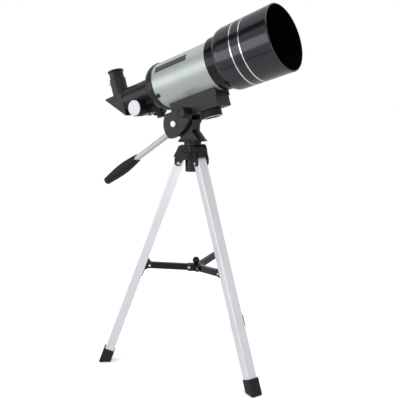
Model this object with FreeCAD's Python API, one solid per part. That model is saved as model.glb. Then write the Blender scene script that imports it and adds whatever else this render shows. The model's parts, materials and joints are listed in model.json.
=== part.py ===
"""Small refracting telescope on a folding table tripod with a pan and tilt head.

Millimetres, +Z up.  The origin is the point on the floor under the pan axis, midway between the feet.
The telescope points along +X at rest, with its tube raised by TUBE_ELEVATION.

Three local frames are used, and each node is placed in the common frame when it is written:
  tube frame   X along the optical axis towards the sky, Z up across the tube, Y across the tilt axis
  leg frame    X outwards from the pan axis, Z up, Y along the leg's pivot pin
  head frame   the common frame itself
"""

import FreeCAD
import Part
import math
import os

V = FreeCAD.Vector
X_AXIS = V(1, 0, 0)
Y_AXIS = V(0, 1, 0)
Z_AXIS = V(0, 0, 1)

# ---------------------------------------------------------------- fits
SLIDE_GAP = 0.08          # radial gap of parts that slide on each other
RUN_GAP = 0.06            # radial gap of a pin or shaft that turns in its hole
SEAT_GAP = 0.03           # gap between pieces that are assembled and stay put
SIDE_GAP = 0.3            # sideways gap of hinged parts
SWEEP_GAP = 0.9           # gap around a part that swings past another

# ---------------------------------------------------------------- where the tube sits
TUBE_ELEVATION = 15.0     # degrees above level at rest

# ---------------------------------------------------------------- main tube
TUBE_R = 36.6
TUBE_WALL = 1.2
TUBE_FRONT = 68.0         # front end, from the pan axis along the tube
TUBE_REAR = -48.5
LABEL_FROM = -41.0
LABEL_TO = 21.0
LABEL_ANGLE = 54.5        # from the top of the tube, towards the -Y side
LABEL_SPAN = 18.0
LABEL_THICK = 0.4
BAFFLE_AT = 15.0
BAFFLE_LIP = 8.4          # height of the baffle above the tube's wall
BAFFLE_THICK = 1.0

# ---------------------------------------------------------------- objective cell and lenses
CELL_WALL = 3.4           # collar around the tube
CELL_REAR = 56.0          # rear edge of the collar that grips the tube
CELL_STEP = 73.0          # where the dew shield seats
CELL_FRONT = 92.0
CELL_LIP = 2.5            # thickness of the ledge that the lenses rest on
LENS_R = 35.0
LENS_LEDGE = 1.6          # width of the ledge and of the retaining ring's grip
CROWN_THICK = 7.0         # centre thickness of the biconvex lens
CROWN_EDGE = 2.6
FLINT_THICK = 3.0         # centre thickness of the negative lens
FLINT_EDGE = 5.4
FLINT_BACK = 0.4          # bulge of the negative lens's rear face
LENS_SPACE = 0.6          # air gap at the lens edges
RETAINER_THICK = 3.0

# ---------------------------------------------------------------- dew shield
SHIELD_FRONT = 166.0
SHIELD_FLARE = 1.6        # growth of the outside radius from the shoulder to the mouth
SHIELD_STEP = 6.4         # shoulder's outside above the cell
SHIELD_SHOULDER = 12.0    # length of the rounded shoulder
SHIELD_LIP = 2.0          # rear edge's outside above the cell
SHIELD_WALL = 1.8
SHIELD_SOCKET = 13.0      # length that grips the cell
SHIELD_LAND = 9.0         # straight bore at the mouth, for a dust cap
RING_AT = (105.6, 121.2)
RING_WIDTH = 1.7
RING_DEPTH = 0.8
RING_PROUD = 0.15

# ---------------------------------------------------------------- focuser housing
FLANGE_STEP = 1.2         # flange's outside above the tube
FLANGE_BAND = 2.5         # straight band in front of the dome
DOME_LENGTH = 18.5
HOUSING_BODY = 7.4        # thickness of the housing's rear body around the drawtube
HOUSING_REAR = -127.0
HOUSING_WALL = 2.2
SPIGOT_LENGTH = 10.0      # length inside the main tube
FLAT_DEPTH = 2.0          # flat milled on top of the housing
FLAT_FROM = -117.0
FLAT_TO = -81.0

# ---------------------------------------------------------------- drawtube and focus drive
DRAW_WALL = 2.27
DRAW_FRONT = -58.0
DRAW_COLLAR_STEP = 4.9    # collar above the drawtube's outside
DRAW_COLLAR = 5.2         # length of the end collar
TOOTH_COUNT = 12
TOOTH_MODULE = 0.75
RACK_WIDTH = 6.0
RACK_BACK = 1.4           # rack thickness under the teeth
RACK_FROM = -126.0
RACK_TO = -62.0
PINION_AT = -96.0
PINION_WIDTH = 7.0
SHAFT_R = 2.0
SHAFT_HALF = 31.5
KNOB_R = 13.2
KNOB_LENGTH = 16.8
KNOB_INNER = 16.2         # inner face of a focus knob, from the tube's middle plane
KNOB_RIBS = 30
CAP_STEP = 0.9            # cap's radius below the knob's
CAP_THICK = 1.6
GEARBOX_HALF_WIDTH = 12.5
GEARBOX_HALF_LENGTH = 10.5
GEARBOX_FLOOR = 2.2       # thickness under the pinion
COVER_THICK = 2.2
COVER_SCREW_R = 2.2
LOCK_AT = -74.0
LOCK_SHANK_R = 2.0
LOCK_BOSS_R = 4.5
LOCK_BOSS = 13.4          # height of the boss below the housing's body
LOCK_HEAD_R = 6.6
LOCK_HEAD = 7.5

# ---------------------------------------------------------------- star diagonal
DIAG_FRONT = -133.2
DIAG_GAP = 0.8            # daylight between the diagonal and the drawtube
DIAG_SIZE = 39.4          # length of each short side
DIAG_HALF_WIDTH = 14.5
DIAG_TOP = 14.8
EYE_AXIS = -146.3         # eyepiece axis along the tube
LIGHT_R = 11.2
MIRROR_THICK = 2.6
MIRROR_HALF_WIDTH = 12.0
MIRROR_HALF_LENGTH = 15.6
DIAG_COVER_THICK = 1.4
NOSE_LENGTH = 24.0
NOSE_SEAT = 1.5           # depth of the barrel's shoulder in the diagonal
NOSE_WALL = 1.45

# ---------------------------------------------------------------- eyepiece and its holder
BARREL_R = 12.25          # standard 24.5 mm barrel, on the eyepiece and the diagonal alike
HOLDER_WALL = 0.97
HOLDER_TOP = 43.0         # above the optical axis
BARREL_LENGTH = 22.0
EYE_BODY_R = 11.8
EYE_TOP = 57.0
EYE_RIM_R = 13.3
EYE_RIM = 3.0             # height of the rim
EYE_RIM_EASE = 0.6
EYE_LENS_R = 6.0
FIELD_LENS_R = 9.5
EYE_SCREW_AT = 38.6
EYE_SCREW_R = 1.25
EYE_SCREW_HEAD_R = 2.4
EYE_SCREW_HEAD = 4.2

# ---------------------------------------------------------------- saddle under the tube
BLOCK_HALF_WIDTH = 18.0   # saddle and platform
SADDLE_REAR = -38.5
SADDLE_FRONT = 48.5
SADDLE_THICK = 7.9        # below the tube
SADDLE_SCREW_AT = (-24.0, 36.0)
SADDLE_SCREW_R = 2.0
CAMERA_SCREW_AT = 21.0
CAMERA_SCREW_R = 3.1      # 1/4 inch thread
CAMERA_SCREW_DEPTH = 5.0
CAMERA_KNOB_R = 15.6
CAMERA_KNOB = 10.5
CAMERA_KNOB_RIBS = 36

# ---------------------------------------------------------------- tilt head
PIVOT_X = -22.2
PIVOT_ABOVE_RIM = 27.5
PLATFORM_ABOVE_PIVOT = 25.23  # top of the platform on the pan axis
PLATFORM_THICK = 15.0
PLATFORM_FRONT = 86.3     # ahead of the pivot, along the tube
PLATFORM_REAR = 1.3
POST_HALF_WIDTH = 10.4
CHEEK_THICK = 7.5
ROOF = 5.5                # platform thickness over the post
LOBE_R = 12.4
SLOT_FRONT = 36.3         # ahead of the pivot
CHEEK_R = 24.3            # lower tip of a cheek, from the pivot
BOLT_R = 3.0
BOLT_HEAD_R = 5.2
BOLT_HEAD = 1.8
NUT_R = 5.2
LOCK_STUD_AHEAD = 32.6    # ahead of the pivot, along the platform
LOCK_STUD_ABOVE = 8.6     # above the pivot, square to the platform
LOCK_STUD_R = 2.0
TILT_KNOB_R = 7.6
TILT_KNOB_LENGTH = 19.0
TILT_KNOB_GAP = 0.4

# ---------------------------------------------------------------- pan handle
HANDLE_DROP = 29.8        # degrees below level at rest
HANDLE_X = -37.0          # where the rod's axis crosses the web
HANDLE_BELOW_PIVOT = 11.4
ROD_R = 4.7
ROD_LENGTH = 100.0
ROD_THREAD_R = 2.9
ROD_THREAD = 8.0
GRIP_LENGTH = 88.0
GRIP_OVERLAP = 12.0       # length of rod inside the grip
GRIP_R = 9.4
GRIP_FRONT_R = 6.0
GRIP_TAIL_R = 6.4
GRIP_NOTCH = 7.0

# ---------------------------------------------------------------- pan base
RIM_R = 22.8
RIM_ABOVE_CROWN = 5.2
RIM_THICK = 2.1
CONE_TOP_R = 10.8
CONE_HEIGHT = 17.8        # above the rim's underside
POST_FRONT_X = 8.0
POST_HEIGHT = 33.0        # above the rim's underside
SPINDLE_R = 7.0
SPINDLE_WELL = 6.0        # spindle's end above the crown's lower face
NECK_R = 13.5
WASHER_THICK = 1.0

# ---------------------------------------------------------------- crown
CROWN_ABOVE_PIN = 27.5
BOSS_R = 12.5
BOSS_BELOW_PIN = 13.5
PIN_X = 22.3              # leg pivot from the pan axis
PIN_R = 1.9
EAR_BOTTOM = 3.9          # ear below the leg pivot
EAR_THICK = 3.2
LEG_TOP_R = 7.6           # swing of the leg's rounded top corner
HOOD_CLEAR_R = 11.6
POCKET_R = 6.2
POCKET_AT = (12.0, 6.0)   # from the pan axis, and below the crown's top

# ---------------------------------------------------------------- legs
LEG_AZIMUTHS = {"left": 216.5, "right": 336.5, "rear": 96.5}
LEG_SPLAY = 22.2          # degrees from vertical when open
LEG_WIDTH = 15.0
LEG_DEPTH = 14.4
LEG_WALL = 1.2
LEG_ABOVE = 8.4           # above the pivot
LEG_END = 334.0           # below the pivot, along the leg
FOOT_GRIP = 11.0          # length of leg inside the rubber
FOOT_WALL = 1.3
FOOT_SOLE = 7.54          # floor to the leg's lowest corner
FOOT_TOE = 1.0            # extra thickness on the outer side
SOLE_EASE = 2.2           # rounding of the sole's outer edge
BRACKET_AT = 168.7
BRACKET_IN = 13.3         # pivot of the spreader arm, inwards from the leg's middle
BRACKET_LOBE_R = 4.6
BRACKET_CHEEK = 2.5

# ---------------------------------------------------------------- spreader
HUB_PIN_R = 11.6          # arm pivots from the pan axis
HUB_DROP = 5.08           # arm pivots on the hub below those on the brackets
HUB_CORE_R = 6.1
ARM_HEIGHT = 10.0
ARM_WIDTH = 6.0
ARM_WEB = 2.0
LUG_THICK = 2.0
RIVET_R = 1.5
RIVET_HEAD_R = 2.4
RIVET_HEAD = 0.8
HUB_CAP_R = 5.6
HUB_CAP_ABOVE = 5.0       # centre of the ball above the hub

# ---------------------------------------------------------------- values worked out from the ones above
SPREAD = math.radians(LEG_SPLAY)
ELEVATION = math.radians(TUBE_ELEVATION)
PIN_Z = FOOT_SOLE + LEG_END * math.cos(SPREAD) + LEG_DEPTH / 2 * math.sin(SPREAD)
CROWN_TOP = PIN_Z + CROWN_ABOVE_PIN
BOSS_BOTTOM = PIN_Z - BOSS_BELOW_PIN
SPINDLE_BOTTOM = BOSS_BOTTOM + SPINDLE_WELL
RIM_Z = CROWN_TOP + RIM_ABOVE_CROWN
CONE_TOP_Z = RIM_Z + CONE_HEIGHT
POST_FRONT_Z = RIM_Z + POST_HEIGHT
PIVOT_Z = RIM_Z + PIVOT_ABOVE_RIM
HANDLE_Z = PIVOT_Z - HANDLE_BELOW_PIVOT
BRACKET_PIN_R = PIN_X + BRACKET_AT * math.sin(SPREAD) - BRACKET_IN * math.cos(SPREAD)
BRACKET_PIN_Z = PIN_Z - BRACKET_AT * math.cos(SPREAD) - BRACKET_IN * math.sin(SPREAD)
HUB_PIN_Z = BRACKET_PIN_Z - HUB_DROP
NOSE_R = BARREL_R
NOSE_BORE_R = NOSE_R - NOSE_WALL
DRAW_BORE_R = NOSE_R + SLIDE_GAP
DRAW_R = DRAW_BORE_R + DRAW_WALL
DRAW_COLLAR_R = DRAW_R + DRAW_COLLAR_STEP
HOUSING_R = DRAW_R + HOUSING_BODY
LOCK_SEAT = HOUSING_R + LOCK_BOSS
CAP_R = KNOB_R - CAP_STEP
CELL_R = TUBE_R + CELL_WALL
LEDGE_R = LENS_R - LENS_LEDGE
SHIELD_REAR_R = CELL_R + SHIELD_STEP
SHIELD_MOUTH_R = SHIELD_REAR_R + SHIELD_FLARE
SHIELD_BACK_R = CELL_R + SHIELD_LIP
FLANGE_R = TUBE_R + FLANGE_STEP
SADDLE_BOTTOM = -TUBE_R - SADDLE_THICK
AXIS_HEIGHT = PIVOT_Z + PLATFORM_ABOVE_PIVOT - SADDLE_BOTTOM / math.cos(ELEVATION)
HOLDER_R = BARREL_R + HOLDER_WALL + SLIDE_GAP
LONG_SIDE = DIAG_SIZE * math.sqrt(2)
DOME_FRONT = TUBE_REAR - FLANGE_BAND
DOME_REAR = DOME_FRONT - DOME_LENGTH
PITCH_R = TOOTH_COUNT * TOOTH_MODULE / 2
RACK_PITCH_Z = -(DRAW_R + RACK_BACK + 1.25 * TOOTH_MODULE)
PINION_Z = RACK_PITCH_Z - PITCH_R
RACK_FLOOR = RACK_PITCH_Z - TOOTH_MODULE - SIDE_GAP
PINION_WELL_R = PITCH_R + TOOTH_MODULE + SIDE_GAP
GEARBOX_BOTTOM = PINION_Z - PINION_WELL_R - GEARBOX_FLOOR
SHIELD_REAR = CELL_STEP + SEAT_GAP
HUB_LUG_IN = ARM_WIDTH / 2 + SIDE_GAP
LEG_BETWEEN = LEG_WIDTH / 2 + SIDE_GAP
EAR_OUT = LEG_BETWEEN + EAR_THICK
PLATFORM_TOP = SADDLE_BOTTOM - SEAT_GAP
PLATFORM_BOTTOM = PLATFORM_TOP - PLATFORM_THICK
CHEEK_IN = POST_HALF_WIDTH + SIDE_GAP
CHEEK_OUT = CHEEK_IN + CHEEK_THICK

TUBE_PLACE = FreeCAD.Placement(V(0, 0, AXIS_HEIGHT), FreeCAD.Rotation(Y_AXIS, -TUBE_ELEVATION))


# ================================================================ shape helpers
def cylinder(radius, start, end):
    """A round bar from one point to another."""
    direction = end - start
    return Part.makeCylinder(radius, direction.Length, start, direction)


def box(low, high):
    """A block between two corners."""
    return Part.makeBox(high[0] - low[0], high[1] - low[1], high[2] - low[2], V(*low))


def outline(items):
    """A face in the XZ plane: a tuple is an (x, z) corner, and a list of tuples is one smooth curve."""
    runs = [item if isinstance(item, list) else [item] for item in items]
    edges = []
    for i, run in enumerate(runs):
        points = [V(x, 0, z) for x, z in run]
        if len(points) > 1:
            curve = Part.BSplineCurve()
            curve.interpolate(points)
            edges.append(curve.toShape())
        x, z = runs[(i + 1) % len(runs)][0]
        following = V(x, 0, z)
        if points[-1].distanceToPoint(following) > 0.001:
            edges.append(Part.makeLine(points[-1], following))
    return Part.Face(Part.Wire(edges))


def lathe(items):
    """Turns an outline of (x, radius) corners and curves about the X axis."""
    return outline(items).revolve(V(0, 0, 0), X_AXIS, 360)


def plate(points, y_from, y_to):
    """Extrudes an outline of (x, z) corners along Y."""
    face = outline(points)
    face.translate(V(0, y_from, 0))
    return face.extrude(V(0, y_to - y_from, 0))


def ring(x_from, x_to, r_out, r_in):
    """A plain ring about the X axis."""
    return lathe([(x_from, r_in), (x_to, r_in), (x_to, r_out), (x_from, r_out)])


def quarter(x_low, r_low, x_high, r_high):
    """A quarter ellipse that leaves (x_low, r_low) square to the axis and arrives at (x_high, r_high) along it."""
    turns = [math.radians(9 * i) for i in range(11)]
    return [(x_high - (x_high - x_low) * math.cos(a), r_low + (r_high - r_low) * math.sin(a)) for a in turns]


def ribbed_disc(radius, thickness, ribs, depth):
    """A disc along +Z with half-round grooves around its edge."""
    disc = Part.makeCylinder(radius, thickness)
    groove = Part.makeCylinder(depth, thickness + 2, V(radius + depth * 0.25, 0, -1))
    grooves = []
    for i in range(ribs):
        one = groove.copy()
        one.rotate(V(0, 0, 0), Z_AXIS, i * 360.0 / ribs)
        grooves.append(one)
    return disc.cut(grooves)


def aim(shape, origin, direction):
    """Turns a shape made along +Z to point along a direction, and moves it."""
    shape.Placement = FreeCAD.Placement(origin, FreeCAD.Rotation(Z_AXIS, direction))
    return shape


def domed_screw(origin, direction, head_r, head_h, shank_r, shank_len):
    """A round-headed screw: direction points out of the head."""
    sphere_r = (head_r ** 2 + head_h ** 2) / (2 * head_h)
    ball = Part.makeSphere(sphere_r, V(0, 0, head_h - sphere_r))
    head = ball.common(Part.makeCylinder(head_r, head_h))
    shank = Part.makeCylinder(shank_r, shank_len, V(0, 0, -shank_len))
    slot = Part.makeBox(2 * head_r, 0.7, 0.8, V(-head_r, -0.35, head_h - 0.7))
    return aim(head.cut(slot).fuse(shank), origin, direction)


# ================================================================ main tube group (tube frame)
def main_tube():
    tube = ring(TUBE_REAR, TUBE_FRONT, TUBE_R, TUBE_R - TUBE_WALL)
    holes = [screw_shank_hole(angle) for angle in flange_screw_angles()]
    holes += [cylinder(SADDLE_SCREW_R + SLIDE_GAP, V(x, 0, -TUBE_R - 3), V(x, 0, -TUBE_R + 5))
              for x in SADDLE_SCREW_AT]
    return tube.cut(holes)


def flange_screw_angles():
    """Two screws on the flanks and one underneath, from the top of the tube."""
    return (118, 180, 242)


def around(angle, radius):
    """A direction across the tube, measured from its top towards the -Y side."""
    a = math.radians(angle)
    return V(0, -radius * math.sin(a), radius * math.cos(a))


def screw_shank_hole(angle):
    middle = V(TUBE_REAR + SPIGOT_LENGTH * 0.4, 0, 0)
    return cylinder(1.5 + SEAT_GAP, middle + around(angle, TUBE_R - 6), middle + around(angle, TUBE_R + 3))


def flange_screws():
    screws = []
    for angle in flange_screw_angles():
        seat = V(TUBE_REAR + SPIGOT_LENGTH * 0.4, 0, 0) + around(angle, TUBE_R + 0.1)
        screws.append(domed_screw(seat, around(angle, 1), 3.6, 2.6, 1.5, 4.2))
    return Part.makeCompound(screws)


def tube_label():
    inner = TUBE_R + SEAT_GAP
    shell = ring(LABEL_FROM, LABEL_TO, inner + LABEL_THICK, inner)
    reach = TUBE_R * 2
    half = math.radians(LABEL_SPAN / 2)
    wedge = Part.Face(Part.makePolygon([
        V(LABEL_FROM - 1, 0, 0), V(LABEL_FROM - 1, -reach * math.sin(half), reach * math.cos(half)),
        V(LABEL_FROM - 1, reach * math.sin(half), reach * math.cos(half)), V(LABEL_FROM - 1, 0, 0)]))
    wedge = wedge.extrude(V(LABEL_TO - LABEL_FROM + 2, 0, 0))
    wedge.rotate(V(0, 0, 0), X_AXIS, LABEL_ANGLE)
    return shell.common(wedge)


def tube_baffle():
    outer = TUBE_R - TUBE_WALL - SEAT_GAP
    lip = ring(BAFFLE_AT, BAFFLE_AT + 5, outer, outer - BAFFLE_THICK)
    return lip.fuse(ring(BAFFLE_AT, BAFFLE_AT + BAFFLE_THICK, outer, outer - BAFFLE_LIP))


# ================================================================ objective (tube frame)
def lens_seat():
    """Front face of the cell's ledge, which the rear lens rests on."""
    return TUBE_FRONT + SEAT_GAP + CELL_LIP


def crown_bulge():
    return (CROWN_THICK - CROWN_EDGE) / 2


def bulge_height(bulge, radius):
    """How far a convex lens face stands above its edge at a radius."""
    sphere_r = cap_radius(bulge)
    return bulge - sphere_r + math.sqrt(sphere_r ** 2 - radius ** 2)


def flint_rear():
    return lens_seat() + bulge_height(FLINT_BACK, LEDGE_R) + SEAT_GAP


def crown_rear():
    return flint_rear() + FLINT_EDGE + LENS_SPACE


def objective_cell():
    grip = TUBE_R + SEAT_GAP
    pocket = LENS_R + SEAT_GAP
    return lathe([
        (CELL_REAR, grip), (TUBE_FRONT + SEAT_GAP, grip), (TUBE_FRONT + SEAT_GAP, LEDGE_R),
        (lens_seat(), LEDGE_R), (lens_seat(), pocket), (CELL_FRONT, pocket),
        (CELL_FRONT, CELL_R - 0.6), (CELL_STEP, CELL_R - 0.6), (CELL_STEP, CELL_R),
        (CELL_REAR + 1, CELL_R), (CELL_REAR, CELL_R - 1)])


def cap_radius(sagitta):
    return (LENS_R ** 2 + sagitta ** 2) / (2 * sagitta)


def face_height(bulge, radius):
    """How far a lens face stands out from its edge at a radius: negative where the face is hollow."""
    return math.copysign(bulge_height(abs(bulge), radius), bulge)


def lens(x_rear, edge, rear_bulge, front_bulge):
    """A round lens turned from two arcs: a bulge is positive where the face is convex."""
    x_front = x_rear + edge
    half = LENS_R / 2
    rear = Part.Arc(V(x_rear - rear_bulge, 0, 0), V(x_rear - face_height(rear_bulge, half), 0, half),
                    V(x_rear, 0, LENS_R))
    front = Part.Arc(V(x_front, 0, LENS_R), V(x_front + face_height(front_bulge, half), 0, half),
                     V(x_front + front_bulge, 0, 0))
    edges = [rear.toShape(), Part.makeLine(V(x_rear, 0, LENS_R), V(x_front, 0, LENS_R)), front.toShape(),
             Part.makeLine(V(x_front + front_bulge, 0, 0), V(x_rear - rear_bulge, 0, 0))]
    return Part.Face(Part.Wire(edges)).revolve(V(0, 0, 0), X_AXIS, 360)


def flint_lens():
    return lens(flint_rear(), FLINT_EDGE, FLINT_BACK, FLINT_THICK - FLINT_EDGE - FLINT_BACK)


def crown_lens():
    return lens(crown_rear(), CROWN_EDGE, crown_bulge(), crown_bulge())


def lens_retaining_ring():
    rear = crown_rear() + CROWN_EDGE + bulge_height(crown_bulge(), LEDGE_R) + SEAT_GAP
    ring_shape = ring(rear, rear + RETAINER_THICK, LENS_R - SEAT_GAP, LEDGE_R)
    notch = box((rear + RETAINER_THICK - 1.2, -1.5, -LENS_R - 1),
                (rear + RETAINER_THICK + 1, 1.5, LENS_R + 1))
    return ring_shape.cut(notch)


# ================================================================ dew shield (tube frame)
def shield_radius(x):
    """Outside radius of the tapered barrel of the dew shield."""
    start = SHIELD_REAR + SHIELD_SHOULDER
    share = (x - start) / (SHIELD_FRONT - start)
    return SHIELD_REAR_R + share * (SHIELD_MOUTH_R - SHIELD_REAR_R)


def dew_shield():
    start = SHIELD_REAR + SHIELD_SHOULDER
    socket = CELL_R - 0.6 + SEAT_GAP
    bore_start = start + SHIELD_SOCKET
    body = lathe([
        quarter(SHIELD_REAR, SHIELD_BACK_R, start, SHIELD_REAR_R),
        (SHIELD_FRONT - 0.8, shield_radius(SHIELD_FRONT)),
        (SHIELD_FRONT, SHIELD_MOUTH_R - 0.8), (SHIELD_FRONT, SHIELD_MOUTH_R - SHIELD_WALL),
        (SHIELD_FRONT - SHIELD_LAND, SHIELD_MOUTH_R - SHIELD_WALL),
        (SHIELD_FRONT - SHIELD_LAND - 0.5, shield_radius(SHIELD_FRONT - SHIELD_LAND) - SHIELD_WALL),
        (bore_start, shield_radius(bore_start) - SHIELD_WALL), (bore_start - 6, socket),
        (SHIELD_REAR, socket)])
    grooves = [ring(x - RING_WIDTH / 2, x + RING_WIDTH / 2, SHIELD_MOUTH_R + 2, shield_radius(x) - RING_DEPTH)
               for x in RING_AT]
    return body.cut(grooves)


def trim_rings():
    width = RING_WIDTH - 2 * SEAT_GAP
    return Part.makeCompound([
        ring(x - width / 2, x + width / 2, shield_radius(x) + RING_PROUD,
             shield_radius(x) - RING_DEPTH + SEAT_GAP)
        for x in RING_AT])


# ================================================================ focuser (tube frame)
def focuser_housing():
    wall = HOUSING_WALL
    spigot_r = TUBE_R - TUBE_WALL - SEAT_GAP
    spigot_end = TUBE_REAR + SPIGOT_LENGTH
    outer = lathe([
        (HOUSING_REAR, 0), (HOUSING_REAR, HOUSING_R - 2), (HOUSING_REAR + 2, HOUSING_R),
        quarter(DOME_REAR, HOUSING_R, DOME_FRONT, FLANGE_R),
        (TUBE_REAR - SEAT_GAP, FLANGE_R), (TUBE_REAR - SEAT_GAP, spigot_r), (spigot_end, spigot_r),
        (spigot_end, 0)])
    hollow = lathe([
        (DOME_REAR + wall, 0), quarter(DOME_REAR + wall, HOUSING_R - wall, DOME_FRONT, spigot_r - wall),
        (spigot_end + 1, spigot_r - wall), (spigot_end + 1, 0)])
    gearbox = box((PINION_AT - GEARBOX_HALF_LENGTH, -GEARBOX_HALF_WIDTH, GEARBOX_BOTTOM),
                  (PINION_AT + GEARBOX_HALF_LENGTH, GEARBOX_HALF_WIDTH, 0))
    boss = cylinder(LOCK_BOSS_R, V(LOCK_AT, 0, 0), V(LOCK_AT, 0, -LOCK_SEAT))
    guide = cylinder(DRAW_R + 3, V(HOUSING_REAR + 3, 0, 0), V(LOCK_AT + LOCK_BOSS_R, 0, 0))
    body = outer.cut(hollow).fuse([gearbox, boss, guide])
    flat = box((FLAT_FROM, -HOUSING_R, HOUSING_R - FLAT_DEPTH), (FLAT_TO, HOUSING_R, HOUSING_R + 1))
    bore = cylinder(DRAW_R + SLIDE_GAP, V(HOUSING_REAR - 1, 0, 0), V(TUBE_REAR, 0, 0))
    rack_way = box((HOUSING_REAR - 1, -RACK_WIDTH / 2 - SIDE_GAP, RACK_FLOOR),
                   (TUBE_REAR, RACK_WIDTH / 2 + SIDE_GAP, 0))
    pinion_well = box((PINION_AT - PINION_WELL_R, -PINION_WIDTH / 2 - SIDE_GAP, GEARBOX_BOTTOM - 1),
                      (PINION_AT + PINION_WELL_R, PINION_WIDTH / 2 + SIDE_GAP, -DRAW_R))
    shaft_way = cylinder(SHAFT_R + RUN_GAP, V(PINION_AT, -30, PINION_Z), V(PINION_AT, 30, PINION_Z))
    lock_hole = cylinder(LOCK_SHANK_R + RUN_GAP, V(LOCK_AT, 0, 0), V(LOCK_AT, 0, -45))
    screw_holes = [screw_shank_hole(angle) for angle in flange_screw_angles()]
    cover_holes = [cylinder(1.2 + SEAT_GAP, V(x, y, GEARBOX_BOTTOM - 1), V(x, y, GEARBOX_BOTTOM + 6))
                   for x, y in cover_screw_places()]
    knob_inner = KNOB_INNER - SIDE_GAP
    reliefs = [cylinder(KNOB_R + SWEEP_GAP, V(PINION_AT, side * knob_inner, PINION_Z),
                        V(PINION_AT, side * 60, PINION_Z))
               for side in (-1, 1)]
    return body.cut([flat, bore, rack_way, pinion_well, shaft_way,
                     lock_hole] + reliefs + screw_holes + cover_holes)


def cover_screw_places():
    reach_x = GEARBOX_HALF_LENGTH - 2.6
    reach_y = GEARBOX_HALF_WIDTH - 2.8
    return [(PINION_AT + i * reach_x, j * reach_y) for i in (-1, 1) for j in (-1, 1)]


def pinion_cover():
    top = GEARBOX_BOTTOM - SEAT_GAP
    cover = box((PINION_AT - GEARBOX_HALF_LENGTH, -GEARBOX_HALF_WIDTH, top - COVER_THICK),
                (PINION_AT + GEARBOX_HALF_LENGTH, GEARBOX_HALF_WIDTH, top))
    holes = [cylinder(1.2 + SEAT_GAP, V(x, y, top - 5), V(x, y, top + 1)) for x, y in cover_screw_places()]
    return cover.cut(holes)


def pinion_cover_screws():
    seat = GEARBOX_BOTTOM - SEAT_GAP - COVER_THICK - 0.02
    return Part.makeCompound([domed_screw(V(x, y, seat), V(0, 0, -1), COVER_SCREW_R, 1.5, 1.2, 6.0)
                              for x, y in cover_screw_places()])


def drawtube():
    rear = DIAG_FRONT + DIAG_GAP
    body = lathe([
        (rear, DRAW_BORE_R), (DRAW_FRONT, DRAW_BORE_R), (DRAW_FRONT, DRAW_R), (rear + DRAW_COLLAR, DRAW_R),
        (rear + DRAW_COLLAR, DRAW_COLLAR_R), (rear + 1, DRAW_COLLAR_R), (rear, DRAW_COLLAR_R - 1)])
    flat = box((RACK_FROM - SEAT_GAP, -RACK_WIDTH / 2 - SEAT_GAP, -DRAW_R - 1),
               (RACK_TO + SEAT_GAP, RACK_WIDTH / 2 + SEAT_GAP, -DRAW_R + 0.5))
    return body.cut(flat)


def focus_rack():
    """A toothed strip under the drawtube, with straight-sided teeth."""
    pitch = math.pi * TOOTH_MODULE
    top = -DRAW_R + 0.5 - SEAT_GAP
    root = RACK_PITCH_Z + 1.25 * TOOTH_MODULE
    tip = RACK_PITCH_Z - TOOTH_MODULE * 0.9
    strip = box((RACK_FROM, -RACK_WIDTH / 2, root), (RACK_TO, RACK_WIDTH / 2, top))
    half_root = pitch * 0.36
    half_tip = pitch * 0.13
    teeth = []
    first = math.ceil((RACK_FROM - PINION_AT) / pitch + 0.5)
    last = math.floor((RACK_TO - PINION_AT) / pitch - 0.5)
    for i in range(first, last):
        x = PINION_AT + (i + 0.5) * pitch
        teeth.append(plate([(x - half_root, root + 0.2), (x + half_root, root + 0.2), (x + half_tip, tip),
                            (x - half_tip, tip)], -RACK_WIDTH / 2, RACK_WIDTH / 2))
    return strip.fuse(teeth)


def focus_shaft():
    """The pinion cut on its shaft, with one tooth pointing straight up at rest."""
    shaft = cylinder(SHAFT_R, V(0, -SHAFT_HALF, 0), V(0, SHAFT_HALF, 0))
    root = PITCH_R - 1.2 * TOOTH_MODULE
    tip = PITCH_R + 0.85 * TOOTH_MODULE
    core = cylinder(root, V(0, -PINION_WIDTH / 2, 0), V(0, PINION_WIDTH / 2, 0))
    pitch = math.pi * TOOTH_MODULE
    tooth = plate([(-pitch * 0.24, root - 0.5), (pitch * 0.24, root - 0.5), (pitch * 0.18, PITCH_R),
                   (pitch * 0.09, tip), (-pitch * 0.09, tip), (-pitch * 0.18, PITCH_R)],
                  -PINION_WIDTH / 2, PINION_WIDTH / 2)
    teeth = []
    for i in range(TOOTH_COUNT):
        one = tooth.copy()
        one.rotate(V(0, 0, 0), Y_AXIS, i * 360.0 / TOOTH_COUNT)
        teeth.append(one)
    shape = shaft.fuse([core] + teeth)
    shape.translate(V(PINION_AT, 0, PINION_Z))
    return shape


def focus_knob(side):
    """A ribbed knob on one end of the focus shaft: side is -1 or 1 along Y."""
    grip = ribbed_disc(KNOB_R, KNOB_LENGTH - 3, KNOB_RIBS, 0.8)
    grip.translate(V(0, 0, 2))
    hub = Part.makeCylinder(KNOB_R - 1.5, KNOB_LENGTH)
    bore = Part.makeCylinder(SHAFT_R + SEAT_GAP, SHAFT_HALF - KNOB_INNER + SEAT_GAP, V(0, 0, 0))
    recess = Part.makeCylinder(KNOB_R - 3.5, 1, V(0, 0, KNOB_LENGTH - 1))
    knob = grip.fuse(hub).cut([bore, recess])
    return aim(knob, V(PINION_AT, side * KNOB_INNER, PINION_Z), V(0, side, 0))


def focus_caps():
    caps = []
    for side in (-1, 1):
        disc = Part.makeCylinder(CAP_R, CAP_THICK)
        rim = [edge for edge in disc.Edges if abs(edge.BoundBox.ZMin - CAP_THICK) < 0.01 and len(edge.Vertexes) == 1]
        disc = disc.makeFillet(0.7, rim)
        plug = Part.makeCylinder(KNOB_R - 3.5 - SEAT_GAP, 1, V(0, 0, -1 + SEAT_GAP))
        seat = side * (KNOB_INNER + KNOB_LENGTH + SEAT_GAP)
        caps.append(aim(disc.fuse(plug), V(PINION_AT, seat, PINION_Z), V(0, side, 0)))
    return Part.makeCompound(caps)


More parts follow.
